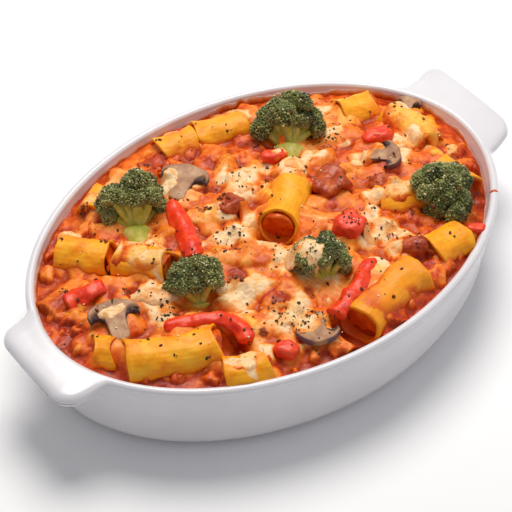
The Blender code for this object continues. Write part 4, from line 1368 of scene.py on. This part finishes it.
def wall_film(height, finish):
    """The dried line on the inner wall: a thin sheet a hair off the wall, from below the food's edge up to a
    height that wanders round the dish; its back is in the wall."""
    angle = all_round(700)[None, :]
    x, y = oval(angle, -3.4)
    foot = read(height, x, y) - 2.0
    around = together(x, y, 0.0)
    reach = 4.6 + 1.6 * rough(around, 22, 90) + 1.0 * noise(around, 5, 91)
    climb, drop = np.linspace(0, 1, 12), np.linspace(1, 0, 4)
    share = np.r_[climb, drop][:, None]
    back = np.r_[0 * climb, np.ones(len(drop))][:, None]
    z = np.minimum(foot + share * np.maximum(reach, 0.8), RIM - 1.0)
    wall_heights, wall_offsets = (16.5, 36.1, 38.6, 41.5, 43.6), (-4.6, -3.4, -2.9, -2.1, 0.0)
    wall = np.interp(z, wall_heights, wall_offsets)
    skin = 0.30 * (1 - share ** 3) + 0.02 + 0.10 * noise(together(x, y, z), 2.5, 92)
    offset = wall - np.where(back > 0, -0.8, np.maximum(skin, 0.03))
    film_x, film_y = oval(angle, offset)
    rings = together(film_x, film_y, z)
    rows, columns = z.shape
    marks = {"height": (share + 0 * z).ravel() * 0.9}
    shape = (rings.reshape(-1, 3), [grid_faces(rows, columns, wrap_rows=True)])
    return piece("dried_sauce_line", shape, finish, (), marks)


def rim_smear(name, middle_angle, width, lowest, highest, finish):
    """A dab of sauce over the lip: a thin sheet that follows the lip's round from inside to outside between
    two angles of its arc, thickest in the middle, its back in the glaze."""
    across = np.linspace(-1, 1, 40)[None, :]
    over = np.linspace(0, 1, 24)[:, None]
    spot = together(across * 6, over * 6, 0.0)
    edge = np.sqrt(np.clip(1 - across ** 2, 0, 1)) * (1 + 0.35 * noise(spot, 3, 95))
    lip_angle = np.radians(highest + (lowest - highest) * (0.5 + (over - 0.5) * edge))
    thick = 0.28 * np.clip(1 - across ** 2, 0, 1) * np.sin(over * math.pi) - 0.05
    angle = middle_angle + across * width / RIM_LONG
    shells = []
    for lift in (thick, -0.6):
        radius = LIP + lift
        x, y = oval(angle, radius * np.cos(lip_angle))
        shells.append(together(x, y, RIM - LIP + radius * np.sin(lip_angle)))
    rings = np.concatenate((shells[0], shells[1][::-1]))
    points, faces = closed_rings(np.moveaxis(rings, 0, 1))
    return piece(name, (points, faces), finish, (), {"deep": np.full(len(points), 0.25)})


# ---- camera, light and floor

def set_camera():
    """Long lens, 45 degrees up and 41 degrees round to the left of the dish's long side."""
    azimuth, elevation, distance = math.radians(-41.07), math.radians(44.63), 0.88
    target = Vector((-0.0179, -0.0123, 0.0436))
    back = Vector((math.sin(azimuth) * math.cos(elevation), -math.cos(azimuth) * math.cos(elevation),
                   math.sin(elevation)))
    camera = placed("camera", bpy.data.cameras.new("camera"))
    camera.location = target + distance * back
    camera.rotation_euler = back.to_track_quat("Z", "Y").to_euler()
    camera.data.sensor_width = 36
    camera.data.lens = 137.62
    camera.data.clip_start = 0.01
    bpy.context.scene.camera = camera


def soft_light(name, way, distance, size, power, colour):
    """A round lamp that way from just above the middle of the dish, facing it."""
    lamp = bpy.data.lights.new(name, "AREA")
    lamp.shape = "DISK"
    lamp.size = size
    lamp.energy = power
    lamp.color = linear(colour)[:3]
    made = placed(name, lamp)
    way = Vector(way).normalized()
    made.location = way * distance + Vector((0, 0, 0.03))
    made.rotation_euler = way.to_track_quat("Z", "Y").to_euler()


def set_stage():
    """A pale floor under soft studio light: a large lamp high behind the dish, a weaker one low to the right,
    and an even pale surround."""
    world = bpy.data.worlds.new("studio")
    world.use_nodes = True
    surround = world.node_tree.nodes["Background"].inputs
    surround["Color"].default_value = linear("#F4F4FA")
    surround["Strength"].default_value = 0.38
    bpy.context.scene.world = world
    soft_light("key", (0.36, 0.46, 1.30), 1.1, 0.70, 11.4, "#FFFCF6")
    soft_light("side", (0.85, -0.55, 0.50), 1.2, 0.8, 1.3, "#FBFAFF")
    floor_finish, tree, shader, place = begin("matt_white_card")
    paint(tree, shader, colours(tree, grain(tree, place, 300, 1), (0.3, "#F6F6F6"), (0.7, "#F8F8F8")))
    settle(shader, Roughness=0.9)
    half = 8.0
    mesh = bpy.data.meshes.new("floor")
    corners = [(-half, -half, 0), (half, -half, 0), (half, half, 0), (-half, half, 0)]
    mesh.from_pydata(corners, [], [(0, 1, 2, 3)])
    mesh.materials.append(floor_finish)
    placed("floor", mesh)
    bpy.context.scene.view_settings.view_transform = "Standard"


# ---- putting it together

def build():
    """Dish, heap, the pieces on it, the cheese over them, then the bits, which share one run of draws."""
    set_camera()
    set_stage()
    glaze = glazed_stoneware()
    top, sauce, dough = baked_top(), sauce_finish(), durum_pasta()
    green, red, flesh, tan = broccoli_finish(), red_pepper(), stewed_tomato(), cooked_mushroom()
    stoneware_dish(glaze)
    fields = heap_fields()
    heap(fields, top)
    clouds, fillings = [], []
    for number, row in enumerate(RIGATONI, 1):
        clouds.append(rigatoni(number, row, fields, dough))
        fillings.append(tube_filling(number, row))
    points, faces = joined(fillings)
    piece("sauce_in_tubes", (points, faces), sauce, (), {"deep": np.zeros(len(points))})
    for number, row in enumerate(PEPPER_STRIPS, 1):
        clouds.append(pepper_strip(number, row, red))
    for seed, (node, *row) in enumerate(PEPPER_PIECES, 1):
        clouds.append(chunk(f"pepper_piece_{node[-1]}", node, row, red, seed, 0.20, 0.66))
    for seed, (node, *row) in enumerate(TOMATO_PIECES, 11):
        clouds.append(chunk(f"tomato_piece_{node[-1]}", node, row, flesh, seed, 0.30, 0.85))
    for number, row in enumerate(MUSHROOMS, 1):
        clouds.append(mushroom_slice(number, row, tan))
    drape = blurred(with_tops(fields["height"], clouds), 0.9)
    for index, row in enumerate(CHEESE_VEILS):
        clouds.append(cheese_veil(index, row, drape, fields, top))
    clouds += [broccoli(number, row, green) for number, row in enumerate(BROCCOLI, 1)]
    drape = blurred(with_tops(fields["height"], clouds), 1.7)
    for index, row in enumerate(LATE_VEILS, len(CHEESE_VEILS)):
        clouds.append(cheese_veil(index, row, drape, fields, top))
    surface = blurred(with_tops(fields["height"], clouds), 0.4)
    dice = np.random.default_rng(2024)

    def on_sauce(x, y, dice):
        return read(fields["melt"], x, y) < dice.uniform(0.2, 0.7, len(x))

    sauce_bits(fields["height"], sauce, dice, on_sauce)
    herb = crumb("dried_oregano", "#2A2410", "#4E4A22", 0.8)
    speck = crumb("cracked_black_pepper", "#1A110C", "#3A2216", 0.7)
    pale = crumb("pale_crumbs_finish", "#EBD9A4", "#F6EBC8", 0.6)
    scorch = crumb("burnt_crumbs", "#4A1C0C", "#8A3C16", 0.6)
    scatter("herb_flakes", 300, surface, herb, dice, 0.40, 0.95, 0.22, 0.15, HERB_CLUSTERS)
    scatter("pepper_specks", 300, surface, speck, dice, 0.16, 0.36, 0.8, 0.12, HERB_CLUSTERS)
    # Small pale bits: half spread over the bake, half gathered on the broccoli crowns
    scatter("pale_crumbs", 260, surface, pale, dice, 0.28, 0.60, 0.6, 0.15,
            [(row[0][0], row[0][1], row[2] * 0.9) for row in BROCCOLI])
    scatter("scorched_crumbs", 240, surface, scorch, dice, 0.4, 1.2, 0.5, 0.1, TOAST_SPOTS)
    wall_film(fields["height"], dried_film())
    rim_smear("sauce_on_rim_1", -0.66, 1.1, 5, 165, sauce)


build()
